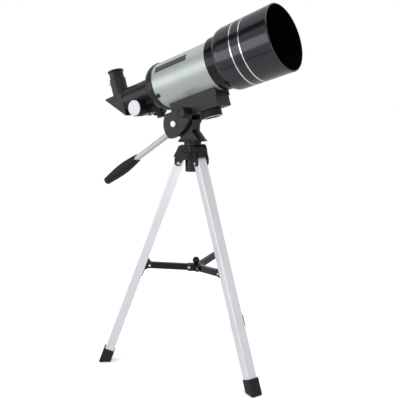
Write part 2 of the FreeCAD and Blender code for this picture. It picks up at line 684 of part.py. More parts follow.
def focus_lock_screw():
    """Thumbscrew whose tip presses on the rack to hold the focus."""
    head = ribbed_disc(LOCK_HEAD_R, LOCK_HEAD, 18, 0.7)
    seat = -LOCK_SEAT - SIDE_GAP
    reach = RACK_FLOOR - seat
    shank = Part.makeCylinder(LOCK_SHANK_R, reach, V(0, 0, -reach))
    return aim(head.fuse(shank), V(LOCK_AT, 0, seat), V(0, 0, -1))


# ================================================================ star diagonal (tube frame)
def slanted(offset, thickness, half_width, start, end):
    """A plate along the diagonal's long side: offset is inwards from that side, and start and end run along it."""
    slab = Part.makeBox(end - start, 2 * half_width, thickness, V(start, -half_width, offset))
    slab.rotate(V(0, 0, 0), Y_AXIS, 45)
    slab.translate(V(DIAG_FRONT - DIAG_SIZE, 0, DIAG_TOP))
    return slab


def diagonal_body():
    left = DIAG_FRONT - DIAG_SIZE
    block = plate([(DIAG_FRONT, DIAG_TOP), (DIAG_FRONT, DIAG_TOP - DIAG_SIZE), (left, DIAG_TOP)],
                  -DIAG_HALF_WIDTH, DIAG_HALF_WIDTH)
    axial = cylinder(LIGHT_R, V(EYE_AXIS, 0, 0), V(DIAG_FRONT + 1, 0, 0))
    upward = cylinder(LIGHT_R, V(EYE_AXIS, 0, 0), V(EYE_AXIS, 0, DIAG_TOP + 1))
    nose_seat = cylinder(NOSE_R + 0.6 + SEAT_GAP, V(DIAG_FRONT - NOSE_SEAT, 0, 0), V(DIAG_FRONT + 1, 0, 0))
    cover_way = slanted(-1, DIAG_COVER_THICK + 1 + SEAT_GAP, DIAG_HALF_WIDTH + 1, -5, LONG_SIDE + 5)
    mirror_way = slanted(0, mirror_depth() + MIRROR_THICK + SEAT_GAP, MIRROR_HALF_WIDTH + SEAT_GAP,
                         mirror_middle() - MIRROR_HALF_LENGTH - 0.5,
                         mirror_middle() + MIRROR_HALF_LENGTH + 0.5)
    return block.cut([cover_way, mirror_way, axial, upward, nose_seat])


def mirror_depth():
    """Inward offset that puts the reflecting face where the two light paths cross."""
    return (EYE_AXIS - (DIAG_FRONT - DIAG_SIZE + DIAG_TOP)) / math.sqrt(2) - MIRROR_THICK


def mirror_middle():
    """Distance along the long side to the middle of the mirror."""
    return (EYE_AXIS - (DIAG_FRONT - DIAG_SIZE) + DIAG_TOP) / math.sqrt(2)


def diagonal_mirror():
    return slanted(mirror_depth(), MIRROR_THICK, MIRROR_HALF_WIDTH, mirror_middle() - MIRROR_HALF_LENGTH,
                   mirror_middle() + MIRROR_HALF_LENGTH)


def diagonal_cover():
    """The sheet that closes the long side, with a pad that holds the mirror up."""
    ease = DIAG_COVER_THICK + 0.8
    sheet = slanted(0, DIAG_COVER_THICK, DIAG_HALF_WIDTH, ease, LONG_SIDE - ease)
    pad = slanted(DIAG_COVER_THICK - 0.5, mirror_depth() - DIAG_COVER_THICK + 0.5 - SEAT_GAP,
                  MIRROR_HALF_WIDTH - 4,
                  mirror_middle() - MIRROR_HALF_LENGTH + 4, mirror_middle() + MIRROR_HALF_LENGTH - 4)
    return sheet.fuse(pad)


def diagonal_nose():
    rear = DIAG_FRONT - NOSE_SEAT + SEAT_GAP
    return lathe([
        (rear, NOSE_BORE_R), (DIAG_FRONT + NOSE_LENGTH, NOSE_BORE_R),
        (DIAG_FRONT + NOSE_LENGTH, NOSE_R - 0.4),
        (DIAG_FRONT + NOSE_LENGTH - 0.4, NOSE_R), (DIAG_FRONT, NOSE_R), (DIAG_FRONT, NOSE_R + 0.6),
        (rear, NOSE_R + 0.6)])


# ================================================================ eyepiece (tube frame, turned about its own axis)
def stand_up(shape):
    """Turns a shape made about X into one about the eyepiece axis, X becoming the height."""
    shape.rotate(V(0, 0, 0), Y_AXIS, -90)
    shape.translate(V(EYE_AXIS, 0, 0))
    return shape


def eyepiece_holder():
    bore = BARREL_R + SLIDE_GAP
    base = DIAG_TOP + SEAT_GAP
    tube = stand_up(lathe([
        (base, LIGHT_R), (base + 1.5, LIGHT_R), (base + 1.5, bore), (HOLDER_TOP, bore),
        (HOLDER_TOP, HOLDER_R - 0.5),
        (HOLDER_TOP - 0.5, HOLDER_R), (base, HOLDER_R)]))
    hole = cylinder(EYE_SCREW_R + RUN_GAP, V(EYE_AXIS, 0, EYE_SCREW_AT), V(EYE_AXIS - 30, 0, EYE_SCREW_AT))
    boss = cylinder(3.0, V(EYE_AXIS - BARREL_R - 0.8, 0, EYE_SCREW_AT),
                    V(EYE_AXIS - HOLDER_R - 1.4, 0, EYE_SCREW_AT))
    return tube.fuse(boss).cut(hole)


def eyepiece_screw():
    tip = EYE_AXIS - BARREL_R - 0.1
    neck = EYE_AXIS - HOLDER_R - 1.6
    head = ribbed_disc(EYE_SCREW_HEAD_R, EYE_SCREW_HEAD, 12, 0.35)
    head = aim(head, V(neck, 0, EYE_SCREW_AT), V(-1, 0, 0))
    return head.fuse(cylinder(EYE_SCREW_R, V(tip, 0, EYE_SCREW_AT), V(neck - 1, 0, EYE_SCREW_AT)))


def eyepiece_barrel():
    low = HOLDER_TOP - BARREL_LENGTH
    return stand_up(lathe([
        (low, BARREL_R - 1), (low, BARREL_R - 0.4), (low + 0.4, BARREL_R), (HOLDER_TOP, BARREL_R),
        (HOLDER_TOP, EYE_BODY_R - 1.6 - SEAT_GAP), (HOLDER_TOP + 3, EYE_BODY_R - 1.6 - SEAT_GAP),
        (HOLDER_TOP + 3, FIELD_LENS_R - 0.6), (HOLDER_TOP - 2, FIELD_LENS_R - 0.6),
        (HOLDER_TOP - 2, BARREL_R - 1)]))


def eyepiece_body():
    low = HOLDER_TOP + SLIDE_GAP
    return stand_up(lathe([
        (low, EYE_BODY_R - 1.6), (low, EYE_BODY_R), (EYE_TOP - EYE_RIM - 1.2, EYE_BODY_R),
        (EYE_TOP - EYE_RIM, EYE_RIM_R), (EYE_TOP - EYE_RIM_EASE, EYE_RIM_R),
        (EYE_TOP, EYE_RIM_R - EYE_RIM_EASE),
        (EYE_TOP, EYE_LENS_R + 2), (EYE_TOP - 2.5, EYE_LENS_R - 0.6), (EYE_TOP - 3, EYE_LENS_R - 0.6),
        (EYE_TOP - 3, EYE_LENS_R + SEAT_GAP), (EYE_TOP - 7, EYE_LENS_R + SEAT_GAP),
        (EYE_TOP - 7, EYE_BODY_R - 1.6)]))


def small_lens(low, radius, thickness, bulge):
    """A plano-convex lens about the eyepiece axis, with its bulge downwards."""
    sphere_r = (radius ** 2 + bulge ** 2) / (2 * bulge)
    blank = Part.makeCylinder(radius, thickness, V(EYE_AXIS, 0, low))
    return blank.common(Part.makeSphere(sphere_r, V(EYE_AXIS, 0, low + sphere_r)))


def eye_lens():
    return small_lens(EYE_TOP - 3 - SEAT_GAP - 3.5, EYE_LENS_R, 3.5, 1.6)


def field_lens():
    top = HOLDER_TOP + 3 + SEAT_GAP
    return small_lens(top, FIELD_LENS_R, 3.4, 1.8)


# ================================================================ saddle and camera screw (tube frame)
def saddle():
    half = BLOCK_HALF_WIDTH
    block = box((SADDLE_REAR, -half, SADDLE_BOTTOM), (SADDLE_FRONT, half, -20))
    cradle = cylinder(TUBE_R + SEAT_GAP, V(SADDLE_REAR - 1, 0, 0), V(SADDLE_FRONT + 1, 0, 0))
    thread = cylinder(CAMERA_SCREW_R + RUN_GAP, V(CAMERA_SCREW_AT, 0, SADDLE_BOTTOM - 1),
                      V(CAMERA_SCREW_AT, 0, SADDLE_BOTTOM + CAMERA_SCREW_DEPTH + 1))
    screws = [cylinder(SADDLE_SCREW_R + SEAT_GAP, V(x, 0, SADDLE_BOTTOM + 1), V(x, 0, -TUBE_R + 2))
              for x in SADDLE_SCREW_AT]
    return block.cut([cradle, thread] + screws)


def saddle_screws():
    inside = -TUBE_R + TUBE_WALL + 0.25
    return Part.makeCompound([domed_screw(V(x, 0, inside), Z_AXIS, 3.6, 2.2, SADDLE_SCREW_R, 6.5)
                              for x in SADDLE_SCREW_AT])


def camera_screw():
    """The screw that holds the saddle down, with its ribbed knob below the platform."""
    top = PLATFORM_BOTTOM - 0.4
    knob = ribbed_disc(CAMERA_KNOB_R, CAMERA_KNOB, CAMERA_KNOB_RIBS, 0.9)
    dish = Part.makeCylinder(CAMERA_KNOB_R - 2.2, 1.5, V(0, 0, CAMERA_KNOB - 1.5))
    knob = aim(knob.cut(dish), V(CAMERA_SCREW_AT, 0, top), V(0, 0, -1))
    stud = cylinder(CAMERA_SCREW_R, V(CAMERA_SCREW_AT, 0, top - 2),
                    V(CAMERA_SCREW_AT, 0, SADDLE_BOTTOM + CAMERA_SCREW_DEPTH))
    return knob.fuse(stud)


# ================================================================ tilt head
def pivot_in_tube_frame():
    point = TUBE_PLACE.inverse().multVec(V(PIVOT_X, 0, PIVOT_Z))
    return point.x, point.z


def cheek_outline():
    """Half-moon side plate: the rear edge bows out, the lower edge sweeps forward up to the platform."""
    px, pz = pivot_in_tube_frame()
    rear = Part.Arc(V(px - 10.5, 0, PLATFORM_TOP), V(px - 19.8, 0, pz + 4), V(px - 16.6, 0, pz - 17.0))
    tip = Part.Arc(V(px - 16.6, 0, pz - 17.0), V(px - 14.0, 0, pz - 19.6), V(px - 10.0, 0, pz - 20.4))
    front = Part.Arc(V(px - 10.0, 0, pz - 20.4), V(px + 14.0, 0, pz - 14.6), V(px + 33.0, 0, PLATFORM_BOTTOM))
    edges = [rear.toShape(), tip.toShape(), front.toShape(),
             Part.makeLine(V(px + 33.0, 0, PLATFORM_BOTTOM), V(px + 33.0, 0, PLATFORM_TOP)),
             Part.makeLine(V(px + 33.0, 0, PLATFORM_TOP), V(px - 10.5, 0, PLATFORM_TOP))]
    return Part.Face(Part.Wire(edges))


def tilt_platform():
    px, pz = pivot_in_tube_frame()
    profile = cheek_outline()
    cheeks = []
    for low in (-CHEEK_OUT, CHEEK_IN):
        face = profile.copy()
        face.translate(V(0, low, 0))
        cheeks.append(face.extrude(V(0, CHEEK_OUT - CHEEK_IN, 0)))
    deck = box((px + PLATFORM_REAR, -BLOCK_HALF_WIDTH, PLATFORM_BOTTOM),
               (px + PLATFORM_FRONT, BLOCK_HALF_WIDTH, PLATFORM_TOP))
    slot = box((px + PLATFORM_REAR - 1, -CHEEK_IN, PLATFORM_BOTTOM - 1),
               (px + SLOT_FRONT, CHEEK_IN, PLATFORM_TOP - ROOF))
    web = profile.copy()
    web.translate(V(0, -CHEEK_IN, 0))
    web = web.extrude(V(0, 2 * CHEEK_IN, 0))
    reach = CHEEK_R * 2
    start, stop = (math.radians(a - TUBE_ELEVATION) for a in (180, 233))
    sector = plate([(px, pz), (px + reach * math.cos(start), pz + reach * math.sin(start)),
                    (px - reach, pz - reach * 0.6),
                    (px + reach * math.cos(stop), pz + reach * math.sin(stop))], -CHEEK_IN, CHEEK_IN)
    web = web.common(sector).cut(cylinder(LOBE_R + SWEEP_GAP, V(px, -20, pz), V(px, 20, pz)))
    body = deck.cut(slot).fuse(cheeks + [web])
    bolt_hole = cylinder(BOLT_R + SEAT_GAP, V(px, -30, pz), V(px, 30, pz))
    lock_x = px + LOCK_STUD_AHEAD
    lock_z = pz + LOCK_STUD_ABOVE
    lock_hole = cylinder(LOCK_STUD_R + RUN_GAP, V(lock_x, -30, lock_z), V(lock_x, 30, lock_z))
    screw_hole = cylinder(CAMERA_SCREW_R + RUN_GAP, V(CAMERA_SCREW_AT, 0, -80), V(CAMERA_SCREW_AT, 0, -40))
    rod_hole = handle_bar(ROD_THREAD_R + RUN_GAP, -ROD_THREAD, ROD_THREAD)
    rod_hole.Placement = TUBE_PLACE.inverse().multiply(rod_hole.Placement)
    rod_seat = handle_bar(ROD_R + SLIDE_GAP, 2.0 - SEAT_GAP, 30)
    rod_seat.Placement = TUBE_PLACE.inverse().multiply(rod_seat.Placement)
    return body.cut([bolt_hole, lock_hole, screw_hole, rod_hole, rod_seat])


def tilt_bolt():
    """The pivot bolt in the common frame, with its bright round head on the -Y side."""
    head = Part.makeCylinder(BOLT_HEAD_R, BOLT_HEAD)
    rim = [edge for edge in head.Edges if abs(edge.BoundBox.ZMin - BOLT_HEAD) < 0.01 and len(edge.Vertexes) == 1]
    head = head.makeFillet(1.0, rim)
    socket = Part.makeBox(2.4 * BOLT_HEAD_R, 1.0, 1.0, V(-1.2 * BOLT_HEAD_R, -0.5, BOLT_HEAD - 0.8))
    length = 2 * CHEEK_OUT + 7.5
    bolt = head.cut(socket).fuse(Part.makeCylinder(BOLT_R, length, V(0, 0, -length)))
    return aim(bolt, V(PIVOT_X, -CHEEK_OUT - SEAT_GAP, PIVOT_Z), V(0, -1, 0))


def hex_nut(radius, height, hole_r):
    corners = [V(radius * math.cos(math.radians(60 * i)), radius * math.sin(math.radians(60 * i)), 0)
               for i in range(6)]
    nut = Part.Face(Part.makePolygon(corners + corners[:1])).extrude(V(0, 0, height))
    return nut.cut(Part.makeCylinder(hole_r, height + 2, V(0, 0, -1)))


def lock_stud_place():
    px, pz = pivot_in_tube_frame()
    return TUBE_PLACE.multVec(V(px + LOCK_STUD_AHEAD, 0, pz + LOCK_STUD_ABOVE))


def tilt_nuts():
    far = CHEEK_OUT + SEAT_GAP
    pivot = aim(hex_nut(NUT_R, 5.0, BOLT_R + SEAT_GAP), V(PIVOT_X, far, PIVOT_Z), Y_AXIS)
    stud = lock_stud_place()
    lock = aim(hex_nut(4.2, 3.2, LOCK_STUD_R + RUN_GAP), V(stud.x, far, stud.z), Y_AXIS)
    return Part.makeCompound([pivot, lock])


def tilt_lock_knob():
    knob = ribbed_disc(TILT_KNOB_R, TILT_KNOB_LENGTH, 20, 0.6)
    dish = Part.makeCylinder(TILT_KNOB_R - 1.8, 0.8, V(0, 0, TILT_KNOB_LENGTH - 0.8))
    length = 2 * CHEEK_OUT + TILT_KNOB_GAP + 4.5
    stud = Part.makeCylinder(LOCK_STUD_R, length, V(0, 0, -length))
    place = lock_stud_place()
    return aim(knob.cut(dish).fuse(stud), V(place.x, -CHEEK_OUT - TILT_KNOB_GAP, place.z), V(0, -1, 0))


# ================================================================ handle (common frame)
def handle_direction():
    a = math.radians(HANDLE_DROP)
    return V(-math.cos(a), 0, -math.sin(a))


def handle_bar(radius, start, end):
    """A round bar along the handle's axis, measured outwards from the web."""
    origin = V(HANDLE_X, 0, HANDLE_Z)
    return cylinder(radius, origin + handle_direction() * start, origin + handle_direction() * end)


def handle_rod():
    thread = handle_bar(ROD_THREAD_R, -5.0, 3.0)
    shank = handle_bar(ROD_R, 2.0, ROD_LENGTH)
    return thread.fuse(shank)


def handle_grip():
    """A barrel-shaped grip with a vee notch at its front end and a blunt, slanted tail."""
    front = ROD_LENGTH - GRIP_OVERLAP
    tail = front + GRIP_LENGTH
    swell = [(front, GRIP_FRONT_R), (front + 0.22 * GRIP_LENGTH, GRIP_R - 1.1),
             (front + 0.45 * GRIP_LENGTH, GRIP_R),
             (front + 0.72 * GRIP_LENGTH, GRIP_R - 1.0), (tail - 1.5, GRIP_TAIL_R)]
    outer = lathe([(front, 0), swell, (tail, GRIP_TAIL_R - 1.5), (tail, 0)])
    bore = cylinder(ROD_R + SEAT_GAP, V(front - 1, 0, 0), V(ROD_LENGTH + SEAT_GAP, 0, 0))
    notch = plate([(front - 1, GRIP_FRONT_R + 1), (front + GRIP_NOTCH, 0), (front - 1, -GRIP_FRONT_R - 1)],
                  -12, 12)
    grip = outer.cut([bore, notch])
    grip.Placement = FreeCAD.Placement(V(HANDLE_X, 0, HANDLE_Z), FreeCAD.Rotation(X_AXIS, handle_direction()))
    return grip


# ================================================================ pan base (common frame)
def pan_base():
    rim = Part.makeCylinder(RIM_R, RIM_THICK, V(0, 0, RIM_Z))
    foot_z = RIM_Z + RIM_THICK
    cone = Part.makeCone(RIM_R - 1.5, CONE_TOP_R, CONE_TOP_Z - foot_z, V(0, 0, foot_z))
    flats = box((-RIM_R, -POST_HALF_WIDTH, foot_z - 1), (RIM_R, POST_HALF_WIDTH, CONE_TOP_Z + 1))
    post = plate([(PIVOT_X - 2, PIVOT_Z - LOBE_R + 1.5), (-CONE_TOP_R, foot_z + 8),
                  (CONE_TOP_R - 4, CONE_TOP_Z - 4),
                  (POST_FRONT_X, POST_FRONT_Z), (PIVOT_X + 4, PIVOT_Z + LOBE_R - 1)],
                 -POST_HALF_WIDTH, POST_HALF_WIDTH)
    lobe = cylinder(LOBE_R, V(PIVOT_X, -POST_HALF_WIDTH, PIVOT_Z), V(PIVOT_X, POST_HALF_WIDTH, PIVOT_Z))
    spindle = Part.makeCylinder(SPINDLE_R, RIM_Z - SPINDLE_BOTTOM + 1, V(0, 0, SPINDLE_BOTTOM))
    body = rim.fuse([cone.common(flats), post, lobe, spindle])
    bolt_hole = cylinder(BOLT_R + RUN_GAP, V(PIVOT_X, -20, PIVOT_Z), V(PIVOT_X, 20, PIVOT_Z))
    screw_hole = Part.makeCylinder(2.0 + SEAT_GAP, 16, V(0, 0, SPINDLE_BOTTOM - 1))
    return body.cut([bolt_hole, screw_hole])


def pan_washer():
    """Thin slip ring between the neck and the flared base."""
    z = RIM_Z - SEAT_GAP - WASHER_THICK
    return Part.makeCylinder(NECK_R - 1.5, WASHER_THICK, V(0, 0, z)).cut(
        Part.makeCylinder(SPINDLE_R + SLIDE_GAP, WASHER_THICK + 2, V(0, 0, z - 1)))


def pan_screw():
    """Screw and flange under the spindle that keep the head on the crown."""
    flange = Part.makeCylinder(SPINDLE_R + 2.4, 2.0, V(0, 0, SPINDLE_BOTTOM - 2.0 - SEAT_GAP))
    head = Part.makeCylinder(4.0, 2.6, V(0, 0, SPINDLE_BOTTOM - 4.5))
    shank = Part.makeCylinder(2.0, 14, V(0, 0, SPINDLE_BOTTOM - 3))
    slot = Part.makeBox(9, 1.0, 1.0, V(-4.5, -0.5, SPINDLE_BOTTOM - 4.6))
    return flange.fuse([head, shank]).cut(slot)


# ================================================================ crown (common frame, with leg-frame ears)
def turned(shape, azimuth):
    shape.rotate(V(0, 0, 0), Z_AXIS, azimuth)
    return shape


def ear_pair():
    """Two ears that hold one leg's pin, and the hood over the leg's top, in the leg frame."""
    low_z = PIN_Z - EAR_BOTTOM
    ear = [(8, CROWN_TOP), (17.5, CROWN_TOP), (22.5, CROWN_TOP - 2), (24.6, CROWN_TOP - 6.5),
           (25.0, CROWN_TOP - 11),
           (PIN_X + 6.5, PIN_Z + 7.5), (PIN_X + 6.5, PIN_Z + 1), (PIN_X + 4.6, low_z + 1),
           (PIN_X + 2.7, low_z),
           (PIN_X - 2.1, low_z), (PIN_X - 3.5, low_z + 2.4), (PIN_X - 6.1, PIN_Z + 3.9),
           (PIN_X - 9.3, PIN_Z + 5.1),
           (8, PIN_Z + 5.1)]
    pocket_x, pocket_drop = POCKET_AT
    pocket = cylinder(POCKET_R, V(pocket_x, -40, CROWN_TOP - pocket_drop),
                      V(pocket_x, 40, CROWN_TOP - pocket_drop))
    ears = []
    for low in (-EAR_OUT, LEG_BETWEEN):
        high = low + EAR_THICK
        ears.append(plate(ear, low, high).cut(pocket))
    hood = plate([(8, CROWN_TOP), (15.5, CROWN_TOP), (21, CROWN_TOP - 2.6), (25.4, CROWN_TOP - 8.2),
                  (28.6, CROWN_TOP - 14), (PIN_X + 8, PIN_Z + 9.4), (8, PIN_Z + 9.4)],
                 -LEG_BETWEEN - 0.5, LEG_BETWEEN + 0.5)
    hood = hood.cut(cylinder(HOOD_CLEAR_R, V(PIN_X, -30, PIN_Z), V(PIN_X, 30, PIN_Z)))
    return ears + [hood]


def crown():
    boss = Part.makeCylinder(BOSS_R, CROWN_TOP - BOSS_BOTTOM, V(0, 0, BOSS_BOTTOM))
    neck = Part.makeCylinder(NECK_R, RIM_Z - WASHER_THICK - 2 * SEAT_GAP - CROWN_TOP + 1,
                             V(0, 0, CROWN_TOP - 1))
    pieces = [neck]
    for azimuth in LEG_AZIMUTHS.values():
        pieces += [turned(shape, azimuth) for shape in ear_pair()]
    body = boss.fuse(pieces)
    bore = Part.makeCylinder(SPINDLE_R + RUN_GAP, 60, V(0, 0, SPINDLE_BOTTOM - 1))
    well = Part.makeCylinder(SPINDLE_R + 2.4 + SIDE_GAP, SPINDLE_BOTTOM - BOSS_BOTTOM + 1,
                             V(0, 0, BOSS_BOTTOM - 1))
    holes = [turned(cylinder(PIN_R + SEAT_GAP, V(PIN_X, -15, PIN_Z), V(PIN_X, 15, PIN_Z)), azimuth)
             for azimuth in LEG_AZIMUTHS.values()]
    relief = [turned(cylinder(LEG_TOP_R + SWEEP_GAP, V(PIN_X, -LEG_BETWEEN, PIN_Z),
                              V(PIN_X, LEG_BETWEEN, PIN_Z)), azimuth)
              for azimuth in LEG_AZIMUTHS.values()]
    return body.cut([bore, well] + holes + relief)


def leg_pins():
    pins = []
    for azimuth in LEG_AZIMUTHS.values():
        pin = cylinder(PIN_R, V(PIN_X, -EAR_OUT, PIN_Z), V(PIN_X, EAR_OUT, PIN_Z))
        heads = [domed_screw(V(PIN_X, side * (EAR_OUT + 0.02), PIN_Z), V(0, side, 0), 2.9, 1.1, PIN_R - 0.3,
                             2.0)
                 for side in (-1, 1)]
        pins.append(turned(pin.fuse(heads), azimuth))
    return Part.makeCompound(pins)


# ================================================================ legs (made upright in the leg frame, then splayed)
def splay(shape, azimuth):
    shape.rotate(V(PIN_X, 0, PIN_Z), Y_AXIS, -LEG_SPLAY)
    return turned(shape, azimuth)


def leg_depth(offset):
    """X of a plane across the upright leg, from its middle outwards."""
    return PIN_X + offset


def leg(azimuth):
    half_w = LEG_WIDTH / 2
    half_d = LEG_DEPTH / 2
    top = PIN_Z + LEG_ABOVE
    bottom = PIN_Z - LEG_END
    bar = box((leg_depth(-half_d), -half_w, bottom), (leg_depth(half_d), half_w, top))
    long_edges = [edge for edge in bar.Edges
                  if edge.Length > LEG_END and edge.BoundBox.XMin > PIN_X]
    bar = bar.makeFillet(1.6, long_edges)
    channel = box((leg_depth(-half_d) - 1, -half_w + LEG_WALL, bottom - 1),
                  (leg_depth(half_d - LEG_WALL), half_w - LEG_WALL, top + 1))
    corner = box((leg_depth(-half_d) - 1, -half_w - 1, PIN_Z), (PIN_X, half_w + 1, top + 1))
    corner = corner.cut(cylinder(half_d, V(PIN_X, -20, PIN_Z), V(PIN_X, 20, PIN_Z)))
    hole = cylinder(PIN_R + RUN_GAP, V(PIN_X, -20, PIN_Z), V(PIN_X, 20, PIN_Z))
    return splay(bar.cut([channel, corner, hole]), azimuth)


def foot(azimuth):
    """A rubber cap over the leg's end, cut flat at the floor."""
    half_w = LEG_WIDTH / 2 + FOOT_WALL
    inner = -LEG_DEPTH / 2 - FOOT_WALL
    outer = LEG_DEPTH / 2 + FOOT_WALL + FOOT_TOE
    low = PIN_Z - LEG_END - 30
    high = PIN_Z - LEG_END + FOOT_GRIP
    cap = box((leg_depth(inner), -half_w, low), (leg_depth(outer), half_w, high))
    cap = cap.makeFillet(2.2, [edge for edge in cap.Edges if edge.Length > 30])
    pocket = box((leg_depth(-LEG_DEPTH / 2 - SEAT_GAP), -LEG_WIDTH / 2 - SEAT_GAP,
                  PIN_Z - LEG_END - SEAT_GAP),
                 (leg_depth(LEG_DEPTH / 2 + SEAT_GAP), LEG_WIDTH / 2 + SEAT_GAP, high + 1))
    cap = splay(cap.cut(pocket), 0)
    cap = cap.cut(box((-50, -50, -200), (400, 50, 0)))
    outer_edge = max((edge for edge in cap.Edges if edge.BoundBox.ZMax < 0.01),
                     key=lambda edge: edge.CenterOfMass.x)
    return turned(cap.makeFillet(SOLE_EASE, [outer_edge]), azimuth)


def bracket(azimuth):
    """Plastic clip in the open side of a leg, with two lugs for the spreader arm."""
    z = PIN_Z - BRACKET_AT
    inner_w = ARM_WIDTH / 2 + SIDE_GAP + 0.2
    outer_w = inner_w + BRACKET_CHEEK
    back = LEG_DEPTH / 2 - LEG_WALL - SEAT_GAP
    face = -LEG_DEPTH / 2 - 1.2
    cheeks = []
    for low in (-outer_w, inner_w):
        high = low + BRACKET_CHEEK
        side = plate([(leg_depth(back), z + 8), (leg_depth(face), z + 8),
                      (leg_depth(-BRACKET_IN), z + BRACKET_LOBE_R),
                      (leg_depth(-BRACKET_IN), z - BRACKET_LOBE_R), (leg_depth(face), z - 9),
                      (leg_depth(face), z - 20), (leg_depth(back), z - 20)], low, high)
        lobe = cylinder(BRACKET_LOBE_R, V(leg_depth(-BRACKET_IN), low, z), V(leg_depth(-BRACKET_IN), high, z))
        cheeks.append(side.fuse(lobe))
    web = box((leg_depth(back - 1.4), -outer_w, z - 20), (leg_depth(back), outer_w, z + 8))
    body = web.fuse(cheeks)
    hole = cylinder(RIVET_R + RUN_GAP, V(leg_depth(-BRACKET_IN), -20, z), V(leg_depth(-BRACKET_IN), 20, z))
    return splay(body.cut(hole), azimuth)


# ================================================================ spreader (common frame)
def spreader_hub():
    low = HUB_PIN_Z - ARM_HEIGHT / 2 - 1
    core = Part.makeCylinder(HUB_CORE_R, ARM_HEIGHT + 1.5, V(0, 0, low))
    lugs = []
    for azimuth in LEG_AZIMUTHS.values():
        for y in (-HUB_LUG_IN - LUG_THICK, HUB_LUG_IN):
            lug = box((2, y, low), (HUB_PIN_R, y + LUG_THICK, low + ARM_HEIGHT + 1))
            lobe = cylinder(ARM_HEIGHT / 2 + 0.5, V(HUB_PIN_R, y, HUB_PIN_Z),
                            V(HUB_PIN_R, y + LUG_THICK, HUB_PIN_Z))
            lobe = lobe.common(box((0, -20, low), (40, 20, low + 30)))
            lugs.append(turned(lug.fuse(lobe), azimuth))
    body = core.fuse(lugs)
    holes = [turned(cylinder(RIVET_R + SEAT_GAP, V(HUB_PIN_R, -10, HUB_PIN_Z), V(HUB_PIN_R, 10, HUB_PIN_Z)),
                    azimuth)
             for azimuth in LEG_AZIMUTHS.values()]
    cap_hole = Part.makeCylinder(1.5 + SEAT_GAP, 20, V(0, 0, HUB_PIN_Z))
    return body.cut(holes + [cap_hole])


def hub_cap():
    """Round-topped screw on the hub."""
    seat = HUB_PIN_Z + ARM_HEIGHT / 2 + 0.5 + SEAT_GAP
    centre = seat + HUB_CAP_ABOVE
    top = centre + HUB_CAP_R
    ball = Part.makeSphere(HUB_CAP_R, V(0, 0, centre))
    head = ball.common(Part.makeCylinder(HUB_CAP_R, top - seat, V(0, 0, seat)))
    return head.fuse(Part.makeCylinder(1.5, seat - HUB_PIN_Z, V(0, 0, HUB_PIN_Z + 0.5)))


def hub_rivets():
    reach = HUB_LUG_IN + LUG_THICK
    rivets = []
    for azimuth in LEG_AZIMUTHS.values():
        pin = cylinder(RIVET_R, V(HUB_PIN_R, -reach, HUB_PIN_Z), V(HUB_PIN_R, reach, HUB_PIN_Z))
        heads = [cylinder(RIVET_HEAD_R, V(HUB_PIN_R, side * (reach + 0.02), HUB_PIN_Z),
                          V(HUB_PIN_R, side * (reach + RIVET_HEAD), HUB_PIN_Z)) for side in (-1, 1)]
        tips = [cylinder(RIVET_R, V(HUB_PIN_R, side * reach, HUB_PIN_Z),
                         V(HUB_PIN_R, side * (reach + 0.1), HUB_PIN_Z)) for side in (-1, 1)]
        rivets.append(turned(pin.fuse(heads + tips), azimuth))
    return Part.makeCompound(rivets)


def arm(azimuth):
    """A channel-section arm from the hub to a leg's bracket."""
    length = math.hypot(BRACKET_PIN_R - HUB_PIN_R, HUB_DROP)
    rise = math.degrees(math.atan2(HUB_DROP, BRACKET_PIN_R - HUB_PIN_R))
    half_h = ARM_HEIGHT / 2
    half_w = ARM_WIDTH / 2
    bar = box((0, -half_w, -half_h), (length, half_w, half_h))
    ends = [cylinder(half_h, V(x, -half_w, 0), V(x, half_w, 0)) for x in (0, length)]
    channel = box((10, -half_w + 1.4, -half_h - 1), (length - 10, half_w - 1.4, half_h - ARM_WEB))
    holes = [cylinder(RIVET_R + RUN_GAP, V(x, -10, 0), V(x, 10, 0)) for x in (0, length)]
    shape = bar.fuse(ends).cut([channel] + holes)
    shape.rotate(V(0, 0, 0), Y_AXIS, -rise)
    shape.translate(V(HUB_PIN_R, 0, HUB_PIN_Z))
    return turned(shape, azimuth)


# ================================================================ writing the nodes
def in_tube_frame(shape):
    """Places a shape made in the tube frame."""
    shape.Placement = TUBE_PLACE.multiply(shape.Placement)
    return shape


